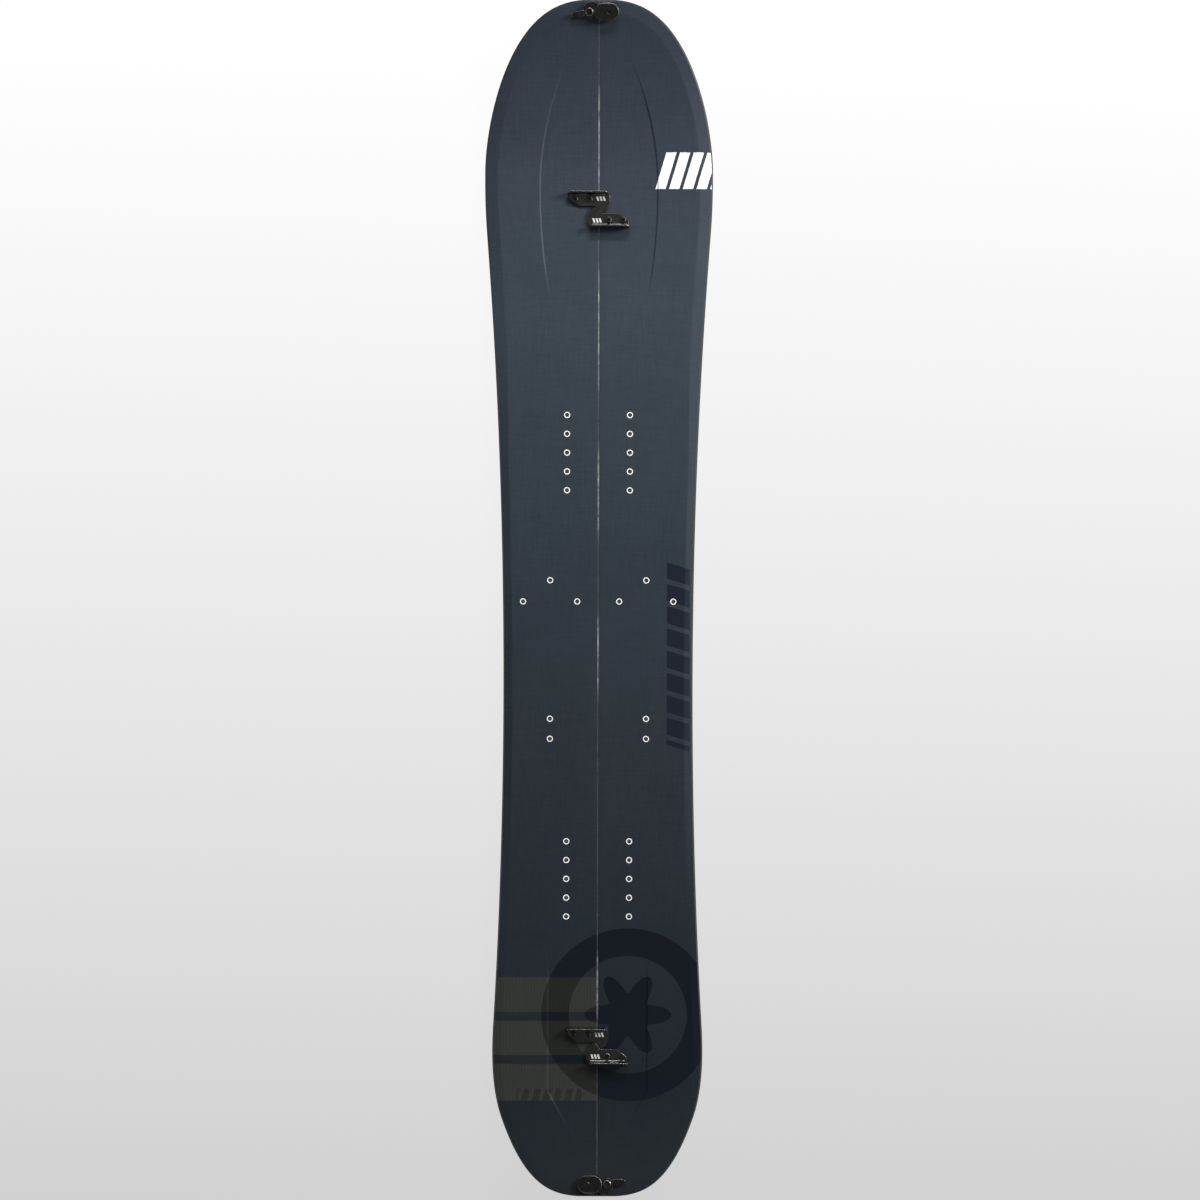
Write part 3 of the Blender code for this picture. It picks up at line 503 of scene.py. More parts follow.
def combine(first, operation, others):
    """Booleans; a union that comes out smaller than what went in stops the script."""

    def spread(bms):
        points = [v.co for bm in bms for v in bm.verts]
        return [max(p[k] for p in points) - min(p[k] for p in points) for k in range(3)]

    whole = spread([first, *others] if operation == "UNION" else [first])

    def as_object(bm):
        bmesh.ops.recalc_face_normals(bm, faces=bm.faces)
        mesh = bpy.data.meshes.new("scratch")
        bm.to_mesh(mesh)
        bm.free()
        made = bpy.data.objects.new("scratch", mesh)
        bpy.context.scene.collection.objects.link(made)
        return made

    target = as_object(first)
    tools = [as_object(bm) for bm in others]
    for tool in tools:
        modifier = target.modifiers.new("join", "BOOLEAN")
        modifier.solver, modifier.operation, modifier.object = "EXACT", operation, tool
    bpy.context.view_layer.update()
    graph = bpy.context.evaluated_depsgraph_get()
    result = bmesh.new()
    result.from_mesh(target.evaluated_get(graph).to_mesh())
    for made in (target, *tools):
        mesh = made.data
        bpy.data.objects.remove(made, do_unlink=True)
        bpy.data.meshes.remove(mesh)
    if operation == "UNION":
        assert all(abs(a - b) < 0.05 for a, b in zip(spread([result]), whole)), "a union lost a part"
    return result


def turned(profile, sides):
    """A turned shape. profile holds (radius, height) from axis to axis, or closed on itself."""
    bm = bmesh.new()
    rings = []
    for radius, height in profile:
        if radius == 0.0:
            rings.append([bm.verts.new((0.0, 0.0, height))])
        else:
            rings.append(
                [bm.verts.new((x, y, height)) for x, y in circle((0, 0), radius, sides)]
            )
    pairs = list(zip(rings, rings[1:]))
    if profile[0][0] != 0.0:
        pairs.append((rings[-1], rings[0]))
    for a, b in pairs:
        for k in range(sides):
            n = (k + 1) % sides
            if len(a) == 1:
                bm.faces.new((a[0], b[k], b[n]))
            elif len(b) == 1:
                bm.faces.new((a[k], a[n], b[0]))
            else:
                bm.faces.new((a[k], a[n], b[n], b[k]))
    bmesh.ops.recalc_face_normals(bm, faces=bm.faces)
    return bm


def merge(target, bm, matrix=None):
    copy = {
        v: target.verts.new(matrix @ v.co if matrix is not None else v.co)
        for v in bm.verts
    }
    for face in bm.faces:
        target.faces.new([copy[v] for v in face.verts]).material_index = face.material_index
    bm.free()


def deck_place(low_y, high_y, x, y):
    low, high = plain_deck_z(low_y), plain_deck_z(high_y)
    slope = (high - low) / (high_y - low_y)
    spot = Vector((x, y, low + slope * (y - low_y)))
    return Matrix.Translation(spot) @ Matrix.Rotation(math.atan(slope), 4, "X")


def turned_round(place):
    return place @ Matrix.Rotation(math.pi, 4, "Z")


def moved_by(place, x, y):
    return place @ Matrix.Translation(Vector((x, y, 0.0)))


# ---- finishes -------------------------------------------------------------------------------------------------
class Nodes:
    """Short ways to wire a material's nodes."""

    def __init__(self, name):
        self.material = bpy.data.materials.new(name)
        self.material.use_nodes = True
        self.tree = self.material.node_tree
        self.shader = self.tree.nodes["Principled BSDF"]
        self.coords = self.tree.nodes.new("ShaderNodeTexCoord")
        self.split = self.tree.nodes.new("ShaderNodeSeparateXYZ")
        self.tree.links.new(self.coords.outputs["Object"], self.split.inputs[0])
        self.x, self.y, self.z = (self.split.outputs[k] for k in range(3))

    def put(self, socket, value):
        if isinstance(value, bpy.types.NodeSocket):
            self.tree.links.new(value, socket)
        elif value is not None:
            socket.default_value = value

    def math(self, operation, a, b=None, c=None, clamp_it=False):
        node = self.tree.nodes.new("ShaderNodeMath")
        node.operation = operation
        node.use_clamp = clamp_it
        for socket, value in zip(node.inputs, (a, b, c)):
            self.put(socket, value)
        return node.outputs[0]

    def ramp01(self, value, low, high, smooth=True):
        node = self.tree.nodes.new("ShaderNodeMapRange")
        node.interpolation_type = "SMOOTHSTEP" if smooth else "LINEAR"
        self.put(node.inputs["Value"], value)
        self.put(node.inputs["From Min"], low)
        self.put(node.inputs["From Max"], high)
        return node.outputs["Result"]

    def remap(self, value, low, high, to_low, to_high):
        node = self.tree.nodes.new("ShaderNodeMapRange")
        for name, number in (
            ("Value", value),
            ("From Min", low),
            ("From Max", high),
            ("To Min", to_low),
            ("To Max", to_high),
        ):
            self.put(node.inputs[name], number)
        return node.outputs["Result"]

    def vector(self, x, y, z):
        node = self.tree.nodes.new("ShaderNodeCombineXYZ")
        for socket, value in zip(node.inputs, (x, y, z)):
            self.put(socket, value)
        return node.outputs[0]

    def scaled(self, scale, turn=0.0):
        node = self.tree.nodes.new("ShaderNodeMapping")
        self.tree.links.new(self.coords.outputs["Object"], node.inputs["Vector"])
        node.inputs["Scale"].default_value = scale
        node.inputs["Rotation"].default_value = (0.0, 0.0, turn)
        return node.outputs[0]

    def noise(self, scale, detail=2.0, rough=0.5, vector=None):
        node = self.tree.nodes.new("ShaderNodeTexNoise")
        self.put(node.inputs["Vector"], vector or self.coords.outputs["Object"])
        node.inputs["Scale"].default_value = scale
        node.inputs["Detail"].default_value = detail
        node.inputs["Roughness"].default_value = rough
        return node.outputs["Fac"]

    def mix(self, share, a, b):
        node = self.tree.nodes.new("ShaderNodeMix")
        node.data_type = "RGBA"
        self.put(node.inputs["Factor"], share)
        self.put(node.inputs["A"], a if isinstance(a, bpy.types.NodeSocket) else (*a, 1.0))
        self.put(node.inputs["B"], b if isinstance(b, bpy.types.NodeSocket) else (*b, 1.0))
        return node.outputs["Result"]

    def ramp(self, value, stops):
        node = self.tree.nodes.new("ShaderNodeValToRGB")
        self.put(node.inputs["Fac"], value)
        elements = node.color_ramp.elements
        while len(elements) < len(stops):
            elements.new(0.5)
        for element, (position, colour) in zip(elements, stops):
            element.position = position
            element.color = (*colour, 1.0)
        return node.outputs["Color"]

    def bump(self, height, strength, distance, normal=None):
        node = self.tree.nodes.new("ShaderNodeBump")
        node.inputs["Strength"].default_value = strength
        node.inputs["Distance"].default_value = distance
        self.put(node.inputs["Height"], height)
        if normal is not None:
            self.put(node.inputs["Normal"], normal)
        return node.outputs["Normal"]

    def wave(self, value, length, sharp=1.0):
        """0 to 1 and back along a coordinate, once every length metres."""
        sine = self.math("SINE", self.math("MULTIPLY", value, math.tau / length))
        return self.math("MULTIPLY_ADD", sine, 0.5 * sharp, 0.5)

    def set(self, **values):
        for name, value in values.items():
            self.put(self.shader.inputs[name.replace("_", " ")], value)
        return self.material


def up_share(n):
    """How far the surface looks up: 1 on a level face, 0 on an upright one."""
    facing = n.tree.nodes.new("ShaderNodeSeparateXYZ")
    geometry = n.tree.nodes.new("ShaderNodeNewGeometry")
    n.tree.links.new(geometry.outputs["True Normal"], facing.inputs[0])
    return facing.outputs[2]


def within(n, value, low, high, soft):
    """1 where value lies between low and high, with soft edges."""
    return n.math(
        "MULTIPLY",
        n.ramp01(value, low - soft, low + soft),
        n.math("SUBTRACT", 1.0, n.ramp01(value, high - soft, high + soft)),
    )


def deck_finish():
    n = Nodes("deck_matte_film")
    # Charcoal navy that darkens from nose to tail: partly a real fade of the print, partly painted shade for the
    # light falling off towards the tail and on the upturned tip.
    colour = n.ramp(
        n.remap(n.y, -0.8, 0.8, 0.0, 1.0),
        [
            (0.0, (0.0066, 0.0100, 0.0142)),
            (0.22, (0.0126, 0.0192, 0.0246)),
            (0.36, (0.0170, 0.0236, 0.0308)),
            (0.55, (0.0222, 0.0312, 0.0414)),
            (0.75, (0.0304, 0.0424, 0.0540)),
            (0.88, (0.0280, 0.0357, 0.0500)),
            (0.975, (0.0234, 0.0308, 0.0436)),
        ],
    )
    # Cloth under the film: two sets of threads with slubs, and slow changes of tone.
    warp = n.wave(n.x, 0.0026)
    weft = n.wave(n.y, 0.0026)
    cloth = n.math("MULTIPLY", warp, weft)
    slow = n.noise(7.0, 3.0, 0.55)
    along = n.noise(1.0, 3.0, 0.6, n.scaled((430.0, 42.0, 42.0)))
    across = n.noise(1.0, 3.0, 0.6, n.scaled((42.0, 430.0, 42.0)))
    slubs = n.math("SUBTRACT", n.math("ADD", along, across), 1.0)
    tone = n.math(
        "ADD",
        n.math("MULTIPLY", n.math("SUBTRACT", slow, 0.5), 0.30),
        n.math(
            "ADD",
            n.math("MULTIPLY", slubs, 0.55),
            n.math("MULTIPLY", n.math("SUBTRACT", cloth, 0.25), 0.16),
        ),
    )
    colour = n.mix(
        n.math("ADD", 0.5, tone, clamp_it=True),
        n.scale_colour(colour, 0.62),
        n.scale_colour(colour, 1.38),
    )

    grain = n.noise(420.0, 3.0, 0.6)
    ragged = n.math("MULTIPLY", n.math("SUBTRACT", grain, 0.5), 0.0016)
    px = n.math("ADD", n.x, ragged)
    py = n.math("ADD", n.y, ragged)

    # Olive band across the left half near the tail, with fine threads along the board and two gaps.
    left = n.math("LESS_THAN", n.x, 0.0)
    stripes = n.math(
        "ADD",
        within(n, py, -0.5692, -0.5570, 0.0006),
        within(n, py, -0.6274, -0.6152, 0.0006),
        clamp_it=True,
    )
    band = n.math(
        "MULTIPLY",
        n.math("MULTIPLY", left, within(n, py, -0.6765, -0.5100, 0.0008)),
        n.math("SUBTRACT", 1.0, stripes),
    )
    threads = n.math(
        "MULTIPLY_ADD",
        n.noise(1.0, 2.0, 0.5, n.scaled((1500.0, 60.0, 60.0))),
        0.7,
        n.math("MULTIPLY", n.wave(n.x, 0.0042), 0.35),
    )
    olive = n.mix(threads, (0.0225, 0.0245, 0.0200), (0.0395, 0.0420, 0.0355))
    colour = n.mix(n.math("MULTIPLY", band, 0.94), colour, olive)
    # A row of plain slanted dashes along the band's tail end.
    slant = n.math("ADD", px, n.math("MULTIPLY", py, -0.28))
    dash = n.math("GREATER_THAN", n.wave(slant, 0.0145), 0.36)
    dashes = n.math(
        "MULTIPLY",
        n.math("MULTIPLY", dash, within(n, py, -0.6765, -0.6605, 0.0005)),
        within(n, px, -0.1090, -0.0210, 0.0005),
    )
    colour = n.mix(n.math("MULTIPLY", dashes, 0.6), colour, (0.0120, 0.0120, 0.0110))

    # A dark ring with a plain six-lobed rosette in it.
    dx, dy = n.math("SUBTRACT", px, 0.0411), n.math("SUBTRACT", py, -0.5606)
    radius = n.math(
        "SQRT",
        n.math("ADD", n.math("MULTIPLY", dx, dx), n.math("MULTIPLY", dy, dy)),
    )
    ring = within(n, radius, 0.0795, 0.1168, 0.0007)
    turn = n.math("ARCTAN2", dy, dx)
    lobe = n.math("SINE", n.math("MULTIPLY_ADD", turn, 6.0, 1.5708))
    lobed = n.math("MULTIPLY_ADD", lobe, 0.0145, 0.0440)
    rosette = n.math("LESS_THAN", radius, lobed)
    badge = n.math("ADD", ring, rosette, clamp_it=True)
    worn = n.ramp01(n.noise(95.0, 4.0, 0.65), 0.26, 0.40)
    ink = n.mix(band, (0.0012, 0.0032, 0.0088), n.scale_colour(colour, 0.42))
    colour = n.mix(
        n.math("MULTIPLY", badge, n.math("MULTIPLY_ADD", worn, 0.08, 0.89)), colour, ink
    )

    # Navy slanted blocks down the right side of the middle.
    run = n.math("ADD", py, n.math("MULTIPLY", px, 0.30))
    block = n.math("GREATER_THAN", n.wave(run, 0.0300), 0.12)
    blocks = n.math(
        "MULTIPLY",
        n.math("MULTIPLY", block, within(n, px, 0.0925, 0.1235, 0.0005)),
        within(n, n.math("ADD", py, n.math("MULTIPLY", px, 0.30)), -0.1680, 0.0780, 0.0006),
    )
    colour = n.mix(n.math("MULTIPLY", blocks, 0.92), colour, (0.0034, 0.0070, 0.0168))

    # White slanted bars at the nose's right edge.
    lean = n.math("ADD", px, n.math("MULTIPLY_ADD", py, -0.30, 0.579 * 0.30))
    along = n.math("FRACT", n.math("MULTIPLY", n.math("SUBTRACT", lean, 0.0835), 1.0 / 0.0185))
    bar = n.math("LESS_THAN", along, 0.74)
    bars = n.math(
        "MULTIPLY",
        n.math("MULTIPLY", bar, n.math("GREATER_THAN", lean, 0.0835)),
        within(n, py, 0.5545, 0.6035, 0.0004),
    )
    colour = n.mix(n.math("MULTIPLY", bars, 0.97), colour, (0.86, 0.87, 0.88))

    # Pale wear along the seam's rim, heavier in a few stretches.
    near_seam = n.math("SUBTRACT", 1.0, n.ramp01(n.math("ABSOLUTE", n.x), 0.00040, 0.00115))
    scuffed = n.ramp01(n.noise(1.0, 5.0, 0.7, n.scaled((30.0, 60.0, 30.0))), 0.36, 0.66)
    heavy = None
    for low, high in SEAM_WEAR:
        stretch = within(n, n.y, low, high, 0.022)
        heavy = stretch if heavy is None else n.math("ADD", heavy, stretch, clamp_it=True)
    wear = n.math(
        "MULTIPLY_ADD",
        n.math("MULTIPLY_ADD", heavy, 0.66, 0.06),
        n.math("MULTIPLY_ADD", scuffed, 0.80, 0.20),
        0.015,
    )
    colour = n.mix(n.math("MULTIPLY", near_seam, wear), colour, (0.56, 0.57, 0.57))

    weave = n.bump(cloth, 0.10, 0.00012)
    peel = n.bump(n.noise(900.0, 2.0, 0.5), 0.12, 0.00010, weave)
    rough = n.math(
        "ADD",
        n.math("MULTIPLY", slow, 0.12),
        n.math("MULTIPLY_ADD", grain, 0.08, 0.46),
    )
    return n.set(Base_Color=colour, Roughness=rough, Normal=peel, Specular_IOR_Level=0.20)


def scale_colour(self, colour, share):
    node = self.tree.nodes.new("ShaderNodeVectorMath")
    node.operation = "SCALE"
    self.put(node.inputs[0], colour)
    node.inputs["Scale"].default_value = share
    return node.outputs[0]


Nodes.scale_colour = scale_colour


def edge_finish():
    n = Nodes("edge_ground_steel")
    ground = n.noise(1.0, 3.0, 0.6, n.scaled((900.0, 40.0, 2600.0)))
    stain = n.noise(18.0, 4.0, 0.6)
    colour = n.mix(n.ramp01(stain, 0.42, 0.75), (0.50, 0.49, 0.475), (0.36, 0.34, 0.31))
    # Painted shade: the faces that look up are darkened to hold down their reflection; the upright ground ones keep
    # the bright steel.
    colour = n.mix(n.ramp01(up_share(n), 0.0, 0.5), colour, n.scale_colour(colour, 0.12))
    return n.set(
        Base_Color=colour,
        Metallic=1.0,
        Roughness=n.math("MULTIPLY_ADD", ground, 0.30, 0.24),
        Normal=n.bump(ground, 0.25, 0.00006),
    )


def sidewall_finish():
    n = Nodes("sidewall_sanded_plastic")
    sanded = n.noise(1.0, 3.0, 0.65, n.scaled((500.0, 22.0, 2400.0)))
    dust = n.noise(30.0, 3.0, 0.6)
    colour = n.mix(n.math("MULTIPLY", dust, 0.8), (0.014, 0.014, 0.015), (0.040, 0.039, 0.038))
    return n.set(
        Base_Color=colour,
        Roughness=n.math("MULTIPLY_ADD", sanded, 0.25, 0.42),
        Normal=n.bump(sanded, 0.30, 0.00008),
        Specular_IOR_Level=0.4,
    )


def base_finish():
    n = Nodes("base_sintered_polyethylene")
    ground = n.noise(1.0, 2.0, 0.5, n.scaled((2200.0, 9.0, 9.0)))
    cross = n.noise(1.0, 2.0, 0.5, n.scaled((2200.0, 9.0, 9.0), 0.16))
    structure = n.math("MAXIMUM", ground, cross)
    cloud = n.noise(55.0, 5.0, 0.65)
    wax = n.noise(5.0, 2.0, 0.5)
    colour = n.mix(cloud, (0.012, 0.0125, 0.014), (0.026, 0.027, 0.030))
    return n.set(
        Base_Color=colour,
        Roughness=n.math("MULTIPLY_ADD", wax, 0.22, 0.26),
        Normal=n.bump(structure, 0.35, 0.00005),
        Specular_IOR_Level=0.5,
    )


def laminate_finish():
    n = Nodes("laminate_glass_cloth")
    cloth = n.math("MULTIPLY", n.wave(n.x, 0.0016), n.wave(n.y, 0.0016))
    colour = n.mix(cloth, (0.22, 0.235, 0.17), (0.44, 0.46, 0.36))
    # Painted shade darkens the upright sawn edge.
    colour = n.mix(n.ramp01(up_share(n), 0.20, 0.60), n.scale_colour(colour, 0.22), colour)
    return n.set(Base_Color=colour, Roughness=0.42, Normal=n.bump(cloth, 0.3, 0.0001))


def core_finish():
    n = Nodes("core_poplar_strips")
    grain = n.noise(1.0, 5.0, 0.65, n.scaled((240.0, 5.0, 90.0)))
    strip = n.math("FLOOR", n.math("MULTIPLY", n.x, 66.0))
    tint = n.math("FRACT", n.math("MULTIPLY", n.math("SINE", n.math("MULTIPLY", strip, 12.9)), 437.5))
    light = n.mix(tint, (0.60, 0.43, 0.25), (0.72, 0.56, 0.36))
    colour = n.mix(n.math("MULTIPLY", grain, 0.7), light, (0.40, 0.26, 0.13))
    return n.set(Base_Color=colour, Roughness=0.62, Normal=n.bump(grain, 0.2, 0.0001))


def insert_finish():
    n = Nodes("insert_turned_stainless")
    turned_marks = n.noise(1900.0, 2.0, 0.5)
    grime = n.noise(160.0, 3.0, 0.6)
    colour = n.mix(n.ramp01(grime, 0.55, 0.90), (1.0, 0.99, 0.96), (0.72, 0.69, 0.62))
    return n.set(
        Base_Color=colour,
        Metallic=0.08,
        Roughness=n.math("MULTIPLY_ADD", turned_marks, 0.20, 0.20),
        Normal=n.bump(turned_marks, 0.10, 0.00003),
        Specular_IOR_Level=0.8,
    )


def anodised(name, dark, light, rough, rims, coat, marked=False):
    n = Nodes(name)
    blast = n.noise(2600.0, 2.0, 0.5)
    handled = n.noise(150.0, 4.0, 0.6)
    scratch = n.noise(1.0, 3.0, 0.7, n.scaled((160.0, 1500.0, 300.0), 0.5))
    colour = n.mix(n.ramp01(handled, 0.35, 0.70), dark, light)
    colour = n.mix(n.math("MULTIPLY", n.ramp01(scratch, 0.66, 0.76), 0.35), colour, (0.13, 0.125, 0.115))
    # Painted shade: darker towards the tail, where the light falls off.
    colour = n.mix(n.ramp01(n.y, -0.55, 0.30), n.scale_colour(colour, 0.50), colour)
    # Painted shade keeps the upright faces blacker, and the rounded rims are paler: partly rubbed bare metal,
    # partly painted highlight.
    up = up_share(n)
    colour = n.mix(n.ramp01(up, 0.20, 0.60), n.scale_colour(colour, 0.15), colour)
    rim_wear_and_highlight = n.math("MULTIPLY", within(n, up, 0.45, 0.84, 0.04), n.ramp01(handled, 0.30, 0.60))
    colour = n.mix(n.math("MULTIPLY", rim_wear_and_highlight, rims), colour, (0.27, 0.265, 0.25))
    metal = 0.55
    if marked:
        # Three plain slanted bars printed on each hook's claw.
        nose = n.math("GREATER_THAN", n.y, 0.0)
        middle = n.math("MULTIPLY_ADD", nose, (NOSE_HOOK_Y - TAIL_HOOK_Y) * MM, TAIL_HOOK_Y * MM)
        away = n.math("SUBTRACT", n.y, middle)
        turn = n.math("SIGN", away)
        across = n.math("MULTIPLY", n.x, turn)
        out = n.math("ABSOLUTE", away)
        lean = n.math("ADD", across, n.math("MULTIPLY_ADD", out, 0.30, -0.0146 * 0.30))
        step = n.math("FRACT", n.math("MULTIPLY", n.math("ADD", lean, 0.0030), 1.0 / 0.0043))
        bars = n.math("MULTIPLY", n.math("LESS_THAN", step, 0.60), within(n, lean, -0.0030, 0.0095, 0.0001))
        bars = n.math("MULTIPLY", bars, within(n, out, 0.0118, 0.0176, 0.0002))
        bars = n.math("MULTIPLY", bars, n.ramp01(n.noise(900.0, 3.0, 0.6), 0.30, 0.42))
        colour = n.mix(n.math("MULTIPLY", bars, 0.92), colour, (0.74, 0.74, 0.73))
        metal = n.math("MULTIPLY_ADD", bars, -0.55, 0.55)
    return n.set(
        Base_Color=colour,
        Metallic=metal,
        Roughness=n.math("MULTIPLY_ADD", handled, 0.14, rough),
        Normal=n.bump(blast, 0.14, 0.00004),
        Specular_IOR_Level=0.4,
        Coat_Weight=coat,
        Coat_Roughness=0.14,
    )


def screw_finish():
    n = Nodes("screw_black_oxide")
    oil = n.noise(500.0, 3.0, 0.6)
    colour = n.mix(oil, (0.022, 0.0215, 0.021), (0.070, 0.068, 0.065))
    up = up_share(n)
    # Painted highlight: the sloping faces of the head are paler.
    colour = n.mix(n.math("MULTIPLY", within(n, up, 0.30, 0.86, 0.05), 0.5), colour, (0.34, 0.33, 0.31))
    return n.set(
        Base_Color=colour,
        Metallic=1.0,
        Roughness=n.math("MULTIPLY_ADD", oil, 0.25, 0.22),
        Normal=n.bump(oil, 0.1, 0.00003),
    )


def bush_finish():
    n = Nodes("bush_turned_steel")
    marks = n.noise(1500.0, 2.0, 0.5)
    colour = n.mix(marks, (0.36, 0.36, 0.35), (0.52, 0.52, 0.51))
    return n.set(
        Base_Color=colour,
        Metallic=1.0,
        Roughness=n.math("MULTIPLY_ADD", marks, 0.2, 0.22),
        Normal=n.bump(marks, 0.12, 0.00003),
    )


# Painted shade for the insides of bores and sockets: near black, standing for the shade in them.
def recess_shade_finish():
    n = Nodes("recess_painted_shade")
    shade_mottle = n.noise(700.0, 3.0, 0.6)
    colour = n.mix(shade_mottle, (0.002, 0.002, 0.002), (0.018, 0.016, 0.014))
    return n.set(
        Base_Color=colour,
        Metallic=0.7,
        Roughness=n.math("MULTIPLY_ADD", shade_mottle, 0.3, 0.35),
        Normal=n.bump(shade_mottle, 0.15, 0.00004),
    )


RECESS_SHADE = recess_shade_finish()
FINISH = {
    "deck": (deck_finish(), "topsheet"),
    "edge": (edge_finish(), "edge_steel"),
    "sidewall": (sidewall_finish(), "sidewall_abs"),
    "base": (base_finish(), "base_ptex"),
    "laminate": (laminate_finish(), "glass_laminate"),
    "core": (core_finish(), "core_wood"),
    "insert": (insert_finish(), "insert_stainless"),
    "hook": (anodised("hook_black_anodised", (0.020, 0.0180, 0.0148), (0.034, 0.0306, 0.0252), 0.17, 0.42, 0.7, marked=True), "hook_black"),
    "clip": (anodised("clip_black_anodised", (0.0085, 0.0080, 0.0065), (0.0170, 0.0160, 0.0135), 0.15, 0.72, 0.3), "clip_black"),
    "bush": (bush_finish(), "bush_steel"),
    "screw": (screw_finish(), "screw_black"),
}


# ---- layers ---------------------------------------------------------------------------------------------------
def above_base(height):
    return lambda y, inset: base_z(y) + height


def below_deck(depth):
    return lambda y, inset: deck_z(y, inset) - depth


def flat(height):
    """A (y, inset) height as one of (x, y, inset)."""
    return lambda x, y, inset: height(y, inset)


def fixed(inset):
    return lambda y: inset


def shoulder(share, extra=0.0):
    return lambda y: share * bevel_width(y) + extra


def fine_topsheet(word, side, holes):
    insets = [
        fixed(2.0), fixed(2.03), fixed(2.1), fixed(2.22), fixed(2.4), fixed(3.2),
        shoulder(0.4), shoulder(0.6), shoulder(0.8), shoulder(0.9), shoulder(0.96), shoulder(1.0),
        shoulder(1.04), shoulder(1.1), shoulder(1.22),
    ]  # fmt: skip

    def top(x, y, inset):
        rim = x - SEAM_DECK
        ease = 0.0 if rim > 0.45 else 0.45 - math.sqrt(max(0.0, 0.2025 - (0.45 - rim) ** 2))
        return fine_deck_z(x, y, inset) - 0.55 * ease

    bm = build_sheet(
        side,
        insets,
        SEAM_DECK,
        deck_columns,
        top,
        lambda x, y, inset: deck_z(y, min(inset, 60.0)) - 0.55,
    )
    made = add_piece(f"{word}_topsheet", bm, "deck", f"{word}_half")
    cut_with(made, holes)
    return made


def add_layers(word, side, holes, pockets):
    body = f"{word}_half"
    fine_topsheet(word, side, [hole() for hole in holes])

    def sheet(name, insets, seam_x, low, top, finish, columns=5, cuts=()):
        bm = build_sheet(
            side, insets, seam_x, even_columns(columns, seam_x), flat(top), flat(low)
        )
        made = add_piece(f"{word}_{name}", bm, finish, body)
        if cuts:
            cut_with(made, [cut() for cut in cuts])

    sheet("base", [fixed(2.06)], SEAM_EDGE + 2.04, above_base(0.0), above_base(1.36), "base")
    sheet(
        "lower_laminate", [fixed(6.05)], SEAM_EDGE + 6.05, above_base(1.4), above_base(1.9), "laminate"
    )
    sheet(
        "core",
        [fixed(8.1), shoulder(1.0)],
        6.1,
        above_base(1.95),
        below_deck(1.3),
        "core",
        cuts=[*holes, *pockets],
    )
    sheet(
        "upper_laminate",
        [fixed(2.08), shoulder(0.9), shoulder(1.0), shoulder(1.1)],
        SEAM_LAMINATE,
        below_deck(1.22),
        below_deck(0.60),
        "laminate",
        cuts=holes,
    )
    r = 0.35
    bar = [
        (0.0, above_base(r)),
        (0.1 * r, above_base(0.55 * r)),
        (0.3 * r, above_base(0.3 * r)),
        (0.55 * r, above_base(0.1 * r)),
        (r, above_base(0.0)),
        (2.0, above_base(0.0)),
        (2.0, above_base(1.38)),
        (6.0, above_base(1.38)),
        (6.0, above_base(1.9)),
        (0.25, above_base(1.9)),
        (0.07, above_base(1.83)),
        (0.0, above_base(1.65)),
    ]
    add_piece(f"{word}_outer_edge", build_sweep(side, bar, SEAM_EDGE), "edge", body)
    inner = [(SEAM_EDGE + x, height) for x, height in bar]
    add_piece(
        f"{word}_inner_edge", build_strip(side, inner, HALF_LENGTH - 6.1), "edge", body
    )
    wall = [
        (0.5, above_base(1.93)),
        (8.0, above_base(1.93)),
        (8.0, below_deck(1.24)),
        (2.25, below_deck(1.24)),
        (2.05, below_deck(1.30)),
        (1.95, below_deck(1.5)),
    ]
    add_piece(f"{word}_outer_sidewall", build_sweep(side, wall, SEAM_WALL), "sidewall", body)
    seam_wall = [
        (SEAM_WALL, above_base(1.95)),
        (6.0, above_base(1.95)),
        (6.0, below_deck(1.26)),
        (SEAM_WALL + 0.1, below_deck(1.26)),
        (SEAM_WALL, below_deck(1.36)),
    ]
    add_piece(
        f"{word}_inner_sidewall",
        build_strip(side, seam_wall, HALF_LENGTH - BEVEL_NOSE - 1.0),
        "sidewall",
        body,
    )


# ---- inserts --------------------------------------------------------------------------------------------------
def threaded_barrel(radius, bore, floor, mouth, pitch):
    """A blind barrel with a real inner helix and a small countersink at its mouth."""
    sides = 28
    bm = bmesh.new()
    depth = mouth - floor - 0.9
    turns = int(depth / pitch) - 1
    steps = turns * 6
    top = mouth - 0.75
    low = top - turns * pitch
    tooth = 0.16 * pitch + 0.12

    def ring(z, radius_of):
        return [
            bm.verts.new(
                (radius_of(k) * math.cos(math.tau * k / sides), radius_of(k) * math.sin(math.tau * k / sides), z)
            )
            for k in range(sides)
        ]

    def plain(r):
        return lambda k: r

    rings = [[bm.verts.new((0.0, 0.0, floor))], ring(floor, plain(radius - 0.2)), ring(floor + 0.2, plain(radius))]
    rings.append(ring(mouth - 0.12, plain(radius)))
    rings.append(ring(mouth, plain(radius - 0.12)))
    rings.append(ring(mouth, plain(bore + 0.34)))
    rings.append(ring(mouth - 0.28, plain(bore + 0.05)))
    for s in range(steps + 1):
        z = top - (top - low) * s / steps
        fade = clamp(min(s, steps - s) / 6.0)

        def thread(k, z=z, fade=fade):
            phase = (z / pitch - k / sides) % 1.0
            return bore + tooth * fade * (1.0 - 2.0 * abs(phase - 0.5) * 1.0)

        rings.append(ring(z, thread))
    rings.append(ring(floor + 0.75, plain(bore - 0.1)))
    rings.append([bm.verts.new((0.0, 0.0, floor + 0.55))])
    for place, (a, b) in enumerate(zip(rings, rings[1:])):
        for k in range(sides):
            n = (k + 1) % sides
            if len(a) == 1:
                face = bm.faces.new((a[0], b[n], b[k]))
            elif len(b) == 1:
                face = bm.faces.new((a[k], a[n], b[0]))
            else:
                face = bm.faces.new((a[k], a[n], b[n], b[k]))
            # Faces from the countersink inwards take the painted shade.
            face.material_index = 1 if place >= 5 else 0
    bmesh.ops.recalc_face_normals(bm, faces=bm.faces)
    return bm


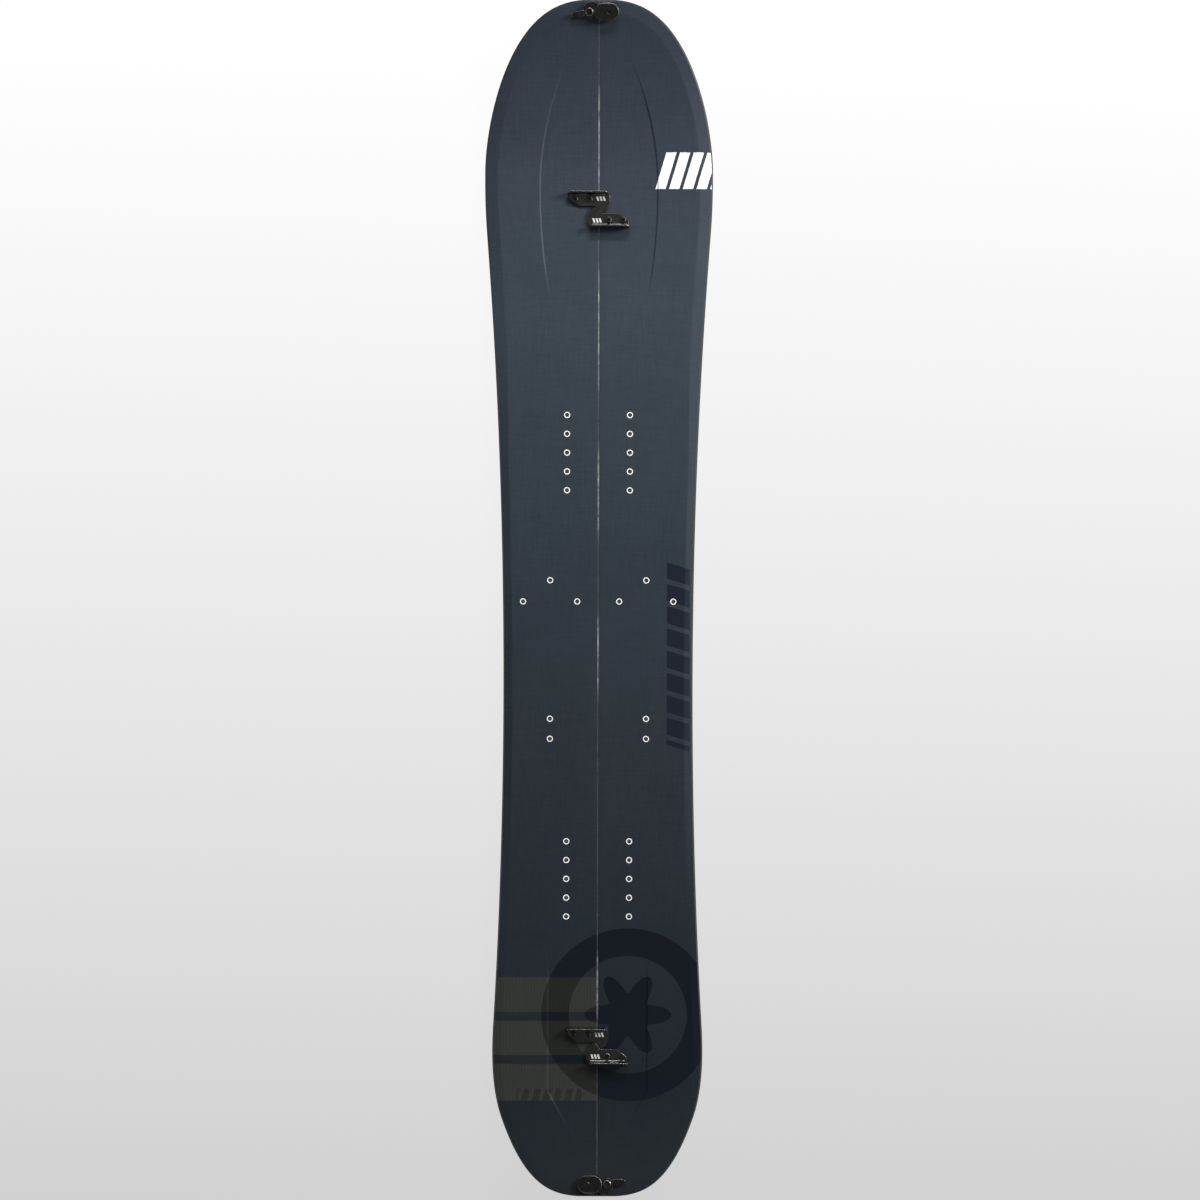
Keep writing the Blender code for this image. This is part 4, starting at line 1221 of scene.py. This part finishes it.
def convex_outline(points):
    def chain(ordered):
        kept = []
        for p in ordered:
            while len(kept) > 1:
                (ax, ay), (bx, by) = kept[-2], kept[-1]
                if (bx - ax) * (p[1] - ay) - (by - ay) * (p[0] - ax) > 1e-6:
                    break
                kept.pop()
            kept.append(p)
        return kept[:-1]

    ordered = sorted((round(x, 5), round(y, 5)) for x, y in set(points))
    return chain(ordered) + chain(ordered[::-1])


def add_inserts(node, place, spots, depth, body, small=False):
    """Returns functions that make the hole and the pocket which the inserts stand in."""
    radius, bore, foot = (3.6, 2.05, 4.4) if small else (4.25, 2.5, 6.0)
    floor = CORE_FLOOR - depth
    bm = bmesh.new()
    for x, y in spots:
        merge(
            bm,
            threaded_barrel(radius, bore, floor, -0.1, 0.8 if small else 1.0),
            Matrix.Translation((x, y, 0.0)),
        )
    plate = prism(
        convex_outline([p for s in spots for p in circle(s, foot, 40)]),
        floor - 0.02,
        floor + 1.0,
    )
    merge(bm, soften(plate, 0.15, 2))
    add_piece(node, bm, "insert", body, place)

    def hole():
        tool = bmesh.new()
        for s in spots:
            merge(tool, prism(circle(s, radius + 0.06, 48), floor - 1.0, 4.0))
        bmesh.ops.transform(tool, matrix=place, verts=tool.verts)
        return tool

    def pocket():
        tool = prism(
            convex_outline([p for s in spots for p in circle(s, foot + 0.1, 32)]),
            floor - 1.0,
            floor + 1.1,
        )
        bmesh.ops.transform(tool, matrix=place, verts=tool.verts)
        return tool

    return hole, pocket


def insert_sets(side):
    puck = [(0.0, (k - (PUCK_ROWS - 1) / 2.0) * PITCH) for k in range(PUCK_ROWS)]
    tour = [(0.0, TOUR_RISE), (-TOUR_SPREAD, 0.0), (TOUR_SPREAD, 0.0)]
    heel = [(0.0, -HEEL_PITCH / 2.0), (0.0, HEEL_PITCH / 2.0)]
    return (
        ("front_binding_inserts", deck_place(138.0, 258.0, side * PUCK_X, FRONT_PUCK_Y), puck),
        ("rear_binding_inserts", deck_place(-440.0, -317.0, side * PUCK_X, REAR_PUCK_Y), puck),
        ("touring_inserts", deck_place(-30.0, 50.0, side * TOUR_X, TOUR_Y), tour),
        ("heel_riser_inserts", deck_place(-210.0, -140.0, side * HEEL_X, HEEL_Y), heel),
    )


# ---- hooks, screws and clips ----------------------------------------------------------------------------------
def cross_recess(arm, width, low, high):
    """A four-winged screwdriver recess that narrows downwards."""
    points = []
    for k in range(4):
        t = k * math.pi / 2.0
        for u, v in ((arm, -width), (arm, width), (width, width)):
            points.append(
                (u * math.cos(t) - v * math.sin(t), u * math.sin(t) + v * math.cos(t))
            )
    bm = prism(points, low, high)
    for v in bm.verts:
        if abs(v.co.z - low) < 1e-6:
            v.co.x *= 0.45
            v.co.y *= 0.45
    return bm


def add_screw(node, place, seat, head, depth, body, height=2.2, turn=0.3, dish=0.0):
    """dish is the radius of a round socket with a hexagon at its bottom, or 0 for a cross recess."""
    end = CORE_FLOOR - depth + 0.55 + 0.4
    base = seat + 0.05
    top = base + height
    profile = [(0.0, end), (1.9, end), (2.25, end + 0.4)]
    profile += [(2.25, base), (head - 0.15, base), (head, base + 0.15)]
    profile += [
        (head - (1.0 - math.cos(t)) * 0.32 * head, base + 0.45 * height + math.sin(t) * 0.55 * height)
        for t in [math.radians(a) for a in (0, 18, 36, 54, 72, 90)]
    ]
    if dish:
        profile = profile[:-3]
        reach = profile[-1][0]
        rim = dish + 0.35 * (reach - dish)
        profile += [(rim + 0.1, top - 0.05), (rim, top), (dish + 0.15, top), (dish, top - 0.15)]
        profile += [(dish - 0.2, base + 0.30 * height), (0.0, base + 0.30 * height)]
        cuts = [prism(circle((0.0, 0.0), 0.62 * dish, 6), base - 0.9, top + 1.0)]
    else:
        profile += [(0.0, top)]
        cuts = [
            cross_recess(min(2.4, 0.55 * head), 0.55, base + 0.25 * height, top + 1.0),
            turned([(0.0, base + 0.2 * height), (1.35, top + 0.2), (0.0, top + 0.6)], 24),
        ]
    bm = carved(turned(profile, 48), *cuts)
    # Faces sunk in the socket take the painted shade.
    for face in bm.faces:
        middle = face.calc_center_median()
        inside = math.hypot(middle.x, middle.y) < (dish + 0.02 if dish else 2.5)
        sunk = base - 1.0 < middle.z < top - (0.10 if dish else 0.30)
        face.material_index = 1 if inside and sunk and middle.z > seat - 0.6 else 0
    bmesh.ops.rotate(bm, matrix=Matrix.Rotation(turn, 3, "Z"), verts=bm.verts)
    add_piece(node, bm, "screw", body, place, angle=30.0)


def hook_outline():
    along = Vector((CLAW_TIP[0], CLAW_TIP[1])).normalized()
    off = Vector((-along.y, along.x)) * 0.3
    claw = [
        (
            CLAW_RADIUS_X * max(0.0, math.cos(t)) ** 0.9,
            CLAW_RADIUS_Y - (CLAW_RADIUS_Y - CLAW_TIP[1]) * math.sin(t),
        )
        for t in [math.radians(68.0 * k / 14.0) for k in range(15)]
    ]
    throat_y = -CLAW_TIP[1] + 0.4
    throat_x = off.x - (throat_y - off.y) * CLAW_TIP[0] / -CLAW_TIP[1]
    right = [(12.0, HOOK_BACK_Y - 0.2), (14.4, 19.6), *claw]
    point = [(CLAW_TIP[0], CLAW_TIP[1]), (CLAW_TIP[0] - 0.5, CLAW_TIP[1] + 0.3)]
    left = [
        (throat_x, throat_y),
        (-26.0, throat_y),
        (-37.0, 12.0),
        (-40.0, 16.0),
        (-40.0, HOOK_BACK_Y - 0.2),
    ]
    return (right + point + left)[::-1]


def add_hook(word, end, place):
    node, body = f"{word}_{end}_hook", f"{word}_half"
    plate = soften(
        prism(rounded(hook_outline(), 2.2, 4), HOOK_LIFT, HOOK_LIFT + HOOK_THICK), 0.5, 3
    )
    top = HOOK_BACK_HEIGHT
    back = [
        (-42.0, HOOK_LIFT),
        (12.0, HOOK_LIFT),
        (12.0, top - 3.0),
        (9.5, top),
        (-38.5, top),
        (-42.0, top - 4.0),
    ]
    wall = soften(
        prism(
            rounded(back, lambda k: 1.2 if k < 2 else 3.0, 5),
            HOOK_BACK_Y - HOOK_BACK_THICK,
            HOOK_BACK_Y,
            axes="xzy",
        ),
        0.8,
        3,
    )
    inner, deck_side = HOOK_BACK_Y - HOOK_BACK_THICK, HOOK_LIFT + HOOK_THICK
    cove = [(inner + 0.5, deck_side - 0.5), (inner - COVE_WIDE, deck_side - 0.5)]
    cove += [
        (
            inner - COVE_WIDE + COVE_WIDE * math.sin(t),
            deck_side + COVE_TALL * (1.0 - math.cos(t)) + 0.04,
        )
        for t in [math.radians(90.0 * k / 8.0) for k in range(9)]
    ]
    cove += [(inner + 0.5, deck_side + COVE_TALL + 0.04)]
    root = prism(cove, -37.0, 9.0, axes="yzx")
    holes = [
        prism(circle(s, 2.45, 28), HOOK_LIFT - 1.0, HOOK_LIFT + HOOK_THICK + 1.0)
        for s in HOOK_SCREWS
    ]
    bm = carved(joined(joined(plate, wall), root), *holes)
    add_piece(node, bm, "hook", body, place)
    for spot, which, turn in zip(HOOK_SCREWS, ("outer", "inner"), (0.35, 0.9)):
        add_screw(
            f"{node}_screw_{which}",
            moved_by(place, *spot),
            HOOK_LIFT + HOOK_THICK,
            4.2,
            HOOK_THICKNESS,
            body,
            turn=turn,
        )
    return add_inserts(f"{node}_inserts", place, HOOK_SCREWS, HOOK_THICKNESS, body, small=True)


def lever_outline():
    slot = STUD_RADIUS + 0.4
    share_at = (
        (-4.0, 1.0), (8.0, 1.0), (19.0, 1.0), (38.0, 0.99), (57.0, 0.97), (78.0, 0.89),
        (102.0, 0.78), (131.0, 0.65), (176.0, 0.55),
    )  # fmt: skip
    rim = []
    for (a, s), (b, t) in zip(share_at, share_at[1:]):
        for k in range(5):
            u = k / 5.0
            turn, reach = math.radians(a + (b - a) * u), LEVER_REACH * (s + (t - s) * u)
            rim.append((PIVOT[0] + reach * math.cos(turn), reach * math.sin(turn)))
    rim.append((PIVOT[0] - 0.55 * LEVER_REACH, 0.6))
    hub = circle(PIVOT, 8.2, 20, start=math.radians(192.0), sweep=math.radians(120.0))
    near = [(PIVOT[0] + 7.5, -3.4)]
    round_stud = circle(STUD, slot, 14, start=math.pi, sweep=-math.radians(158.0))
    lip = [(STUD[0] + 3.15, -1.0)]
    return rim + hub + near + round_stud + lip


def catch_outline():
    edge = CATCH_FROM_X
    return [
        (edge, -10.6), (16.0, -10.6), (21.6, -9.2), (25.2, -5.6), (26.6, -0.8),
        (26.2, 4.0), (23.4, 8.4), (18.4, 11.4), (10.0, 12.7), (edge, 13.0),
    ]  # fmt: skip


def add_clip(end, place, depth, holder, catcher):
    pivot, post = moved_by(place, *PIVOT), moved_by(place, *POST)
    lever_body = f"{end}_lever"

    outline_here = [(x - PIVOT[0], y - PIVOT[1]) for x, y in lever_outline()]
    plate = soften(prism(outline_here, LEVER_FLOOR, LEVER_TOP), 0.6, 3)
    tab_points = [
        (-TAB_REACH, -5.0), (-21.4, -7.2), (-14.0, -7.1), (-6.9, -6.4), (-6.6, -2.0),
        (-7.4, 3.0), (-12.0, 1.7), (-19.5, -0.6), (-TAB_REACH, -2.6),
    ]  # fmt: skip
    tab = soften(prism(rounded(tab_points, 1.6, 4), LEVER_FLOOR + 0.15, TAB_TOP), 0.9, 4)
    hole = prism(circle((0.0, 0.0), 4.25, 40), 0.0, 8.0)
    grooves = [
        prism(
            [(x, -9.0), (x + 1.1, -9.0), (x + 1.1, 4.0), (x, 4.0)],
            TAB_TOP - 0.5,
            TAB_TOP + 2.0,
        )
        for x in (-22.0, -19.2, -16.4)
    ]
    bm = carved(joined(plate, tab), hole, *grooves)
    add_piece(f"{end}_clip_lever", bm, "clip", lever_body, pivot)

    bush = turned(
        [
            (2.6, 0.3), (7.05, 0.3), (7.2, 0.45), (7.2, 1.25), (7.05, 1.4),
            (4.0, 1.4), (4.0, LEVER_TOP + 0.1), (3.9, LEVER_TOP + 0.2), (2.6, LEVER_TOP + 0.2),
        ],
        48,
    )  # fmt: skip
    add_piece(f"{end}_clip_pivot_bush", bush, "bush", f"{holder}_half", pivot)
    add_screw(
        f"{end}_clip_pivot_screw", pivot, LEVER_TOP + 0.2, 5.6, depth, f"{holder}_half", turn=0.6, dish=3.9
    )

    body = f"{catcher}_half"
    base = soften(prism(rounded(catch_outline(), 3.0, 4), 0.3, CAP_FLOOR - 0.05), 1.2, 4)
    base = carved(base, prism(circle(POST, 2.45, 28), -1.0, 9.0))
    add_piece(f"{end}_clip_catch_base", base, "clip", body, place)
    cap_points = circle((15.0, 0.0), CAP_RADIUS, 22, start=-math.pi / 2, sweep=math.pi)
    cap_points += circle((4.6, 0.0), CAP_RADIUS, 22, start=math.pi / 2, sweep=math.pi)
    cap = soften(prism(cap_points, CAP_FLOOR, CAP_TOP), 1.05, 4)
    stud = turned(
        [(0.0, LEVER_FLOOR + 0.5), (1.6, LEVER_FLOOR + 0.5), (1.8, LEVER_FLOOR + 0.7), (1.8, CAP_FLOOR + 0.5), (0.0, CAP_FLOOR + 0.5)],
        28,
    )
    bmesh.ops.translate(stud, vec=(STUD[0], STUD[1], 0.0), verts=stud.verts)
    sink = prism(circle(POST, 4.0, 40), CAP_FLOOR + 0.8, CAP_TOP + 1.0)
    through = prism(circle(POST, 2.45, 28), 0.0, CAP_TOP + 2.0)
    cap = carved(joined(cap, stud), sink, through)
    add_piece(f"{end}_clip_catch_cap", cap, "clip", body, place)
    add_screw(
        f"{end}_clip_catch_screw", post, CAP_FLOOR + 0.8, 3.6, depth, body, height=1.5, turn=0.2, dish=2.9
    )
    return (
        add_inserts(f"{end}_clip_pivot_insert", place, (PIVOT,), depth, f"{holder}_half", small=True),
        add_inserts(f"{end}_clip_catch_insert", place, (POST,), depth, body, small=True),
    )


def depth_under(place, y):
    square = place.to_3x3().col[2].z
    return CORE_FLOOR + (thickness(y) - CORE_FLOOR) * square


# ---- the board ------------------------------------------------------------------------------------------------
def build_board():
    cuts = {"left": [], "right": []}
    for word, side in (("left", -1.0), ("right", 1.0)):
        for name, place, spots in insert_sets(side):
            cuts[word].append(
                add_inserts(f"{word}_{name}", place, spots, MIDDLE_THICKNESS, f"{word}_half")
            )
    for end, middle, flat_zone in (
        ("nose", NOSE_HOOK_Y, NOSE_FLAT),
        ("tail", TAIL_HOOK_Y, TAIL_FLAT),
    ):
        place = deck_place(*flat_zone, 0.0, middle)
        cuts["left"].append(add_hook("left", end, place))
        cuts["right"].append(add_hook("right", end, turned_round(place)))
    tip = deck_place(CLIP_FLAT_FROM, HALF_LENGTH, 0.0, CLIP_Y)
    holder, catcher = add_clip("nose", tip, depth_under(tip, CLIP_Y), "left", "right")
    cuts["left"].append(holder)
    cuts["right"].append(catcher)
    end = turned_round(deck_place(-HALF_LENGTH, -CLIP_FLAT_FROM, 0.0, -CLIP_Y))
    holder, catcher = add_clip("tail", end, depth_under(end, -CLIP_Y), "right", "left")
    cuts["right"].append(holder)
    cuts["left"].append(catcher)
    for word, side in (("left", -1.0), ("right", 1.0)):
        add_layers(
            word, side, [hole for hole, _ in cuts[word]], [pocket for _, pocket in cuts[word]]
        )


build_board()


# ---- floor, light and camera ----------------------------------------------------------------------------------
def add_floor():
    bm = bmesh.new()
    bmesh.ops.create_grid(bm, x_segments=2, y_segments=2, size=6.0)
    mesh = bpy.data.meshes.new("floor")
    bm.to_mesh(mesh)
    bm.free()
    made = bpy.data.objects.new("floor", mesh)
    made.location = (0.0, 0.0, -0.004)
    bpy.context.scene.collection.objects.link(made)
    # The floor glows with painted light, brighter towards the nose, so it takes almost no shadow.
    n = Nodes("floor_glowing_paper")
    shade = n.ramp(
        n.remap(n.y, -0.90, 0.90, 0.0, 1.0),
        [(0.0, (0.602, 0.602, 0.602)), (1.0, (1.010, 1.010, 1.010))],
    )
    n.set(Base_Color=(0.02, 0.02, 0.02, 1.0), Roughness=0.9, Specular_IOR_Level=0.02)
    n.put(n.shader.inputs["Emission Color"], shade)
    n.shader.inputs["Emission Strength"].default_value = 1.0
    mesh.materials.append(n.material)


def add_area(name, location, target, size, power, colour=(1.0, 1.0, 1.0)):
    light = bpy.data.lights.new(name, "AREA")
    light.shape = "RECTANGLE"
    light.size, light.size_y = size
    light.energy = power
    light.color = colour
    made = bpy.data.objects.new(name, light)
    made.location = location
    aim = Vector(target) - Vector(location)
    made.rotation_euler = aim.to_track_quat("-Z", "Y").to_euler()
    bpy.context.scene.collection.objects.link(made)


def add_world():
    world = bpy.data.worlds.new("studio")
    world.use_nodes = True
    shade = world.node_tree.nodes["Background"]
    shade.inputs["Color"].default_value = (0.92, 0.96, 1.0, 1.0)
    shade.inputs["Strength"].default_value = 0.30
    bpy.context.scene.world = world


def add_camera():
    camera = bpy.data.cameras.new("camera")
    camera.sensor_width = 36.0
    camera.lens = 36.0 * 3200.0 / (1200.0 * 1.3535)
    camera.clip_end = 50.0
    made = bpy.data.objects.new("camera", camera)
    made.location = (0.00244, -0.00074, 3.2)
    made.rotation_euler = (0.0, 0.0, math.radians(0.12))
    bpy.context.scene.collection.objects.link(made)
    bpy.context.scene.camera = made


add_floor()
add_world()
add_area("key", (3.3, 1.6, 1.85), (0.0, 0.15, 0.0), (1.1, 1.1), 190.0)
add_area("strip", (0.5, 3.7, 2.3), (0.0, 0.2, 0.0), (2.4, 0.35), 130.0)
add_camera()
bpy.context.scene.view_settings.view_transform = "Standard"
